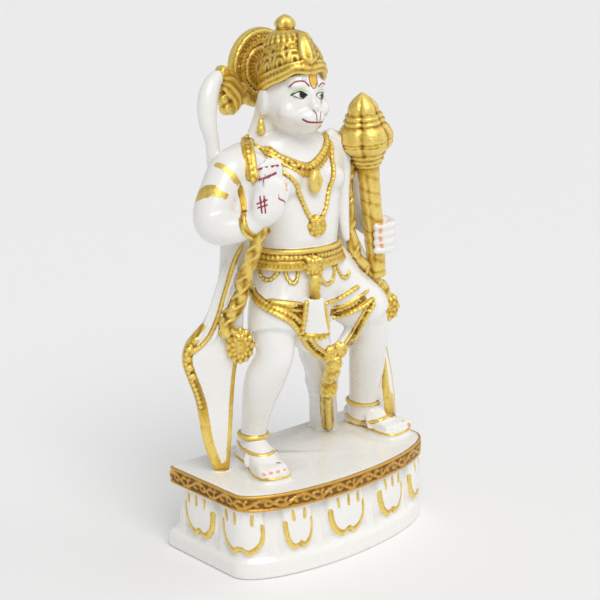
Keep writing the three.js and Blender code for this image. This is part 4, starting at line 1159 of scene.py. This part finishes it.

# The paint: a glossy warm white, bright gold and the brushed colours. Both white and gold are painted darker
# in their hollows, the gold to brown, as painted shade, and the gold's raised parts lighter, as painted
# highlight. The gold on the plinth's rim is a darker bronze, painted with shade and highlight the same way.
# Gold lies a little rough and pitted over the white, and a thin clear coat covers both.
paint = bpy.data.materials.new("painted_resin")
paint.use_nodes = True
nodes, links = paint.node_tree.nodes, paint.node_tree.links
coat = nodes["Principled BSDF"]
coat.inputs["Coat Weight"].default_value = 0.35
coat.inputs["Coat Roughness"].default_value = 0.12
where = nodes.new("ShaderNodeTexCoord").outputs["Object"]


def sum_of(kind, a, b):
    node = nodes.new("ShaderNodeMath")
    node.operation = kind
    for socket, value in zip(node.inputs, (a, b)):
        if isinstance(value, (int, float)):
            socket.default_value = value
        else:
            links.new(value, socket)
    return node.outputs[0]


def ramp(value, low, high, start=0.0, end=1.0):
    node = nodes.new("ShaderNodeMapRange")
    for name, number in (("From Min", low), ("From Max", high), ("To Min", start), ("To Max", end)):
        node.inputs[name].default_value = number
    links.new(value, node.inputs["Value"])
    return node.outputs["Result"]


def noise(scale, detail=3.0):
    node = nodes.new("ShaderNodeTexNoise")
    node.inputs["Scale"].default_value = scale
    node.inputs["Detail"].default_value = detail
    links.new(where, node.inputs["Vector"])
    return node.outputs["Fac"]


def blend(share, low, high):
    node = nodes.new("ShaderNodeMix")
    node.data_type = "RGBA"
    links.new(share, node.inputs["Factor"])
    for socket, value in ((node.inputs["A"], low), (node.inputs["B"], high)):
        if isinstance(value, tuple):
            socket.default_value = (*value, 1)
        else:
            links.new(value, socket)
    return node.outputs["Result"]


def known(name, output="Fac"):
    node = nodes.new("ShaderNodeAttribute")
    node.attribute_name = name
    return node.outputs[output]


# The grey shaded white, the lit gold and bronze and their dark brown shade tones are painted highlight and
# painted shade, set by hollow depth.
WHITE, SHADED, WARM = (0.88, 0.87, 0.84), (0.5, 0.45, 0.36), (0.8, 0.77, 0.7)
GOLD_LIT, GOLD, GOLD_SHADE = (0.92, 0.7, 0.18), (0.7, 0.44, 0.05), (0.17, 0.07, 0.007)
BRONZE_LIT, BRONZE, BRONZE_SHADE = (0.72, 0.42, 0.07), (0.5, 0.25, 0.03), (0.22, 0.095, 0.012)
PITTED = (0.32, 0.16, 0.02)
EDGE_BLEND = 0.0002
hollow_now = sum_of("ADD", known("hollow"), sum_of("MULTIPLY", sum_of("SUBTRACT", noise(420), 0.5), 0.25))
wobble = sum_of("MULTIPLY", sum_of("SUBTRACT", noise(900), 0.5), 0.5)
leafed = ramp(sum_of("ADD", known("gilt"), wobble), -0.07, 0.07)
mottle = ramp(noise(60), 0.35, 0.7, 0.0, 0.12)
# Painted shade: the white turns toward a warm grey the deeper a point lies in a hollow.
white_now = blend(ramp(hollow_now, 0.15, 0.9, 0, 0.55), WHITE, SHADED)
white_now = blend(mottle, white_now, WARM)
white_now = blend(known("tinted"), white_now, known("tint", "Color"))
# Painted highlight: raised parts of the gold and bronze are coloured toward their lit tone.
painted_highlight = ramp(hollow_now, -0.02, -0.2)
pits = ramp(noise(1300, 2), 0.6, 0.7, 0, 0.5)
# Painted shade: the gold turns dark brown the deeper a point lies in a hollow.
gold_now = blend(ramp(hollow_now, 0.0, 0.32), blend(painted_highlight, GOLD, GOLD_LIT), GOLD_SHADE)
gold_now = blend(pits, gold_now, PITTED)
# The rim's bronze is painted the same way: lighter on raised parts as painted highlight, dark brown in
# hollows as painted shade.
bronze_now = blend(ramp(hollow_now, 0.0, 0.24), blend(painted_highlight, BRONZE, BRONZE_LIT), BRONZE_SHADE)
height = nodes.new("ShaderNodeSeparateXYZ")
links.new(where, height.inputs[0])
on_rim = ramp(height.outputs["Z"], TOP * MM + EDGE_BLEND, TOP * MM - EDGE_BLEND)
off_foot = ramp(height.outputs["Z"], BAND_FOOT * MM - EDGE_BLEND, BAND_FOOT * MM + EDGE_BLEND)
gold_now = blend(sum_of("MULTIPLY", on_rim, off_foot), gold_now, bronze_now)
links.new(blend(leafed, white_now, gold_now), coat.inputs["Base Color"])
links.new(sum_of("MULTIPLY", leafed, 0.72), coat.inputs["Metallic"])
gloss = ramp(noise(140), 0.3, 0.7, -0.04, 0.05)
links.new(sum_of("ADD", ramp(leafed, 0, 1, 0.26, 0.36), gloss), coat.inputs["Roughness"])
surface = nodes.new("ShaderNodeBump")
surface.inputs["Strength"].default_value = 0.3
surface.inputs["Distance"].default_value = 0.0004
grainy = sum_of("MULTIPLY", sum_of("MULTIPLY", noise(1500, 2), leafed), 1.6)
links.new(sum_of("ADD", sum_of("MULTIPLY", noise(500, 3), 0.5), grainy), surface.inputs["Height"])
links.new(surface.outputs["Normal"], coat.inputs["Normal"])

casting.data.materials.clear()
casting.data.materials.append(paint)
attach(casting, "root")
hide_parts("hanuman_figure")
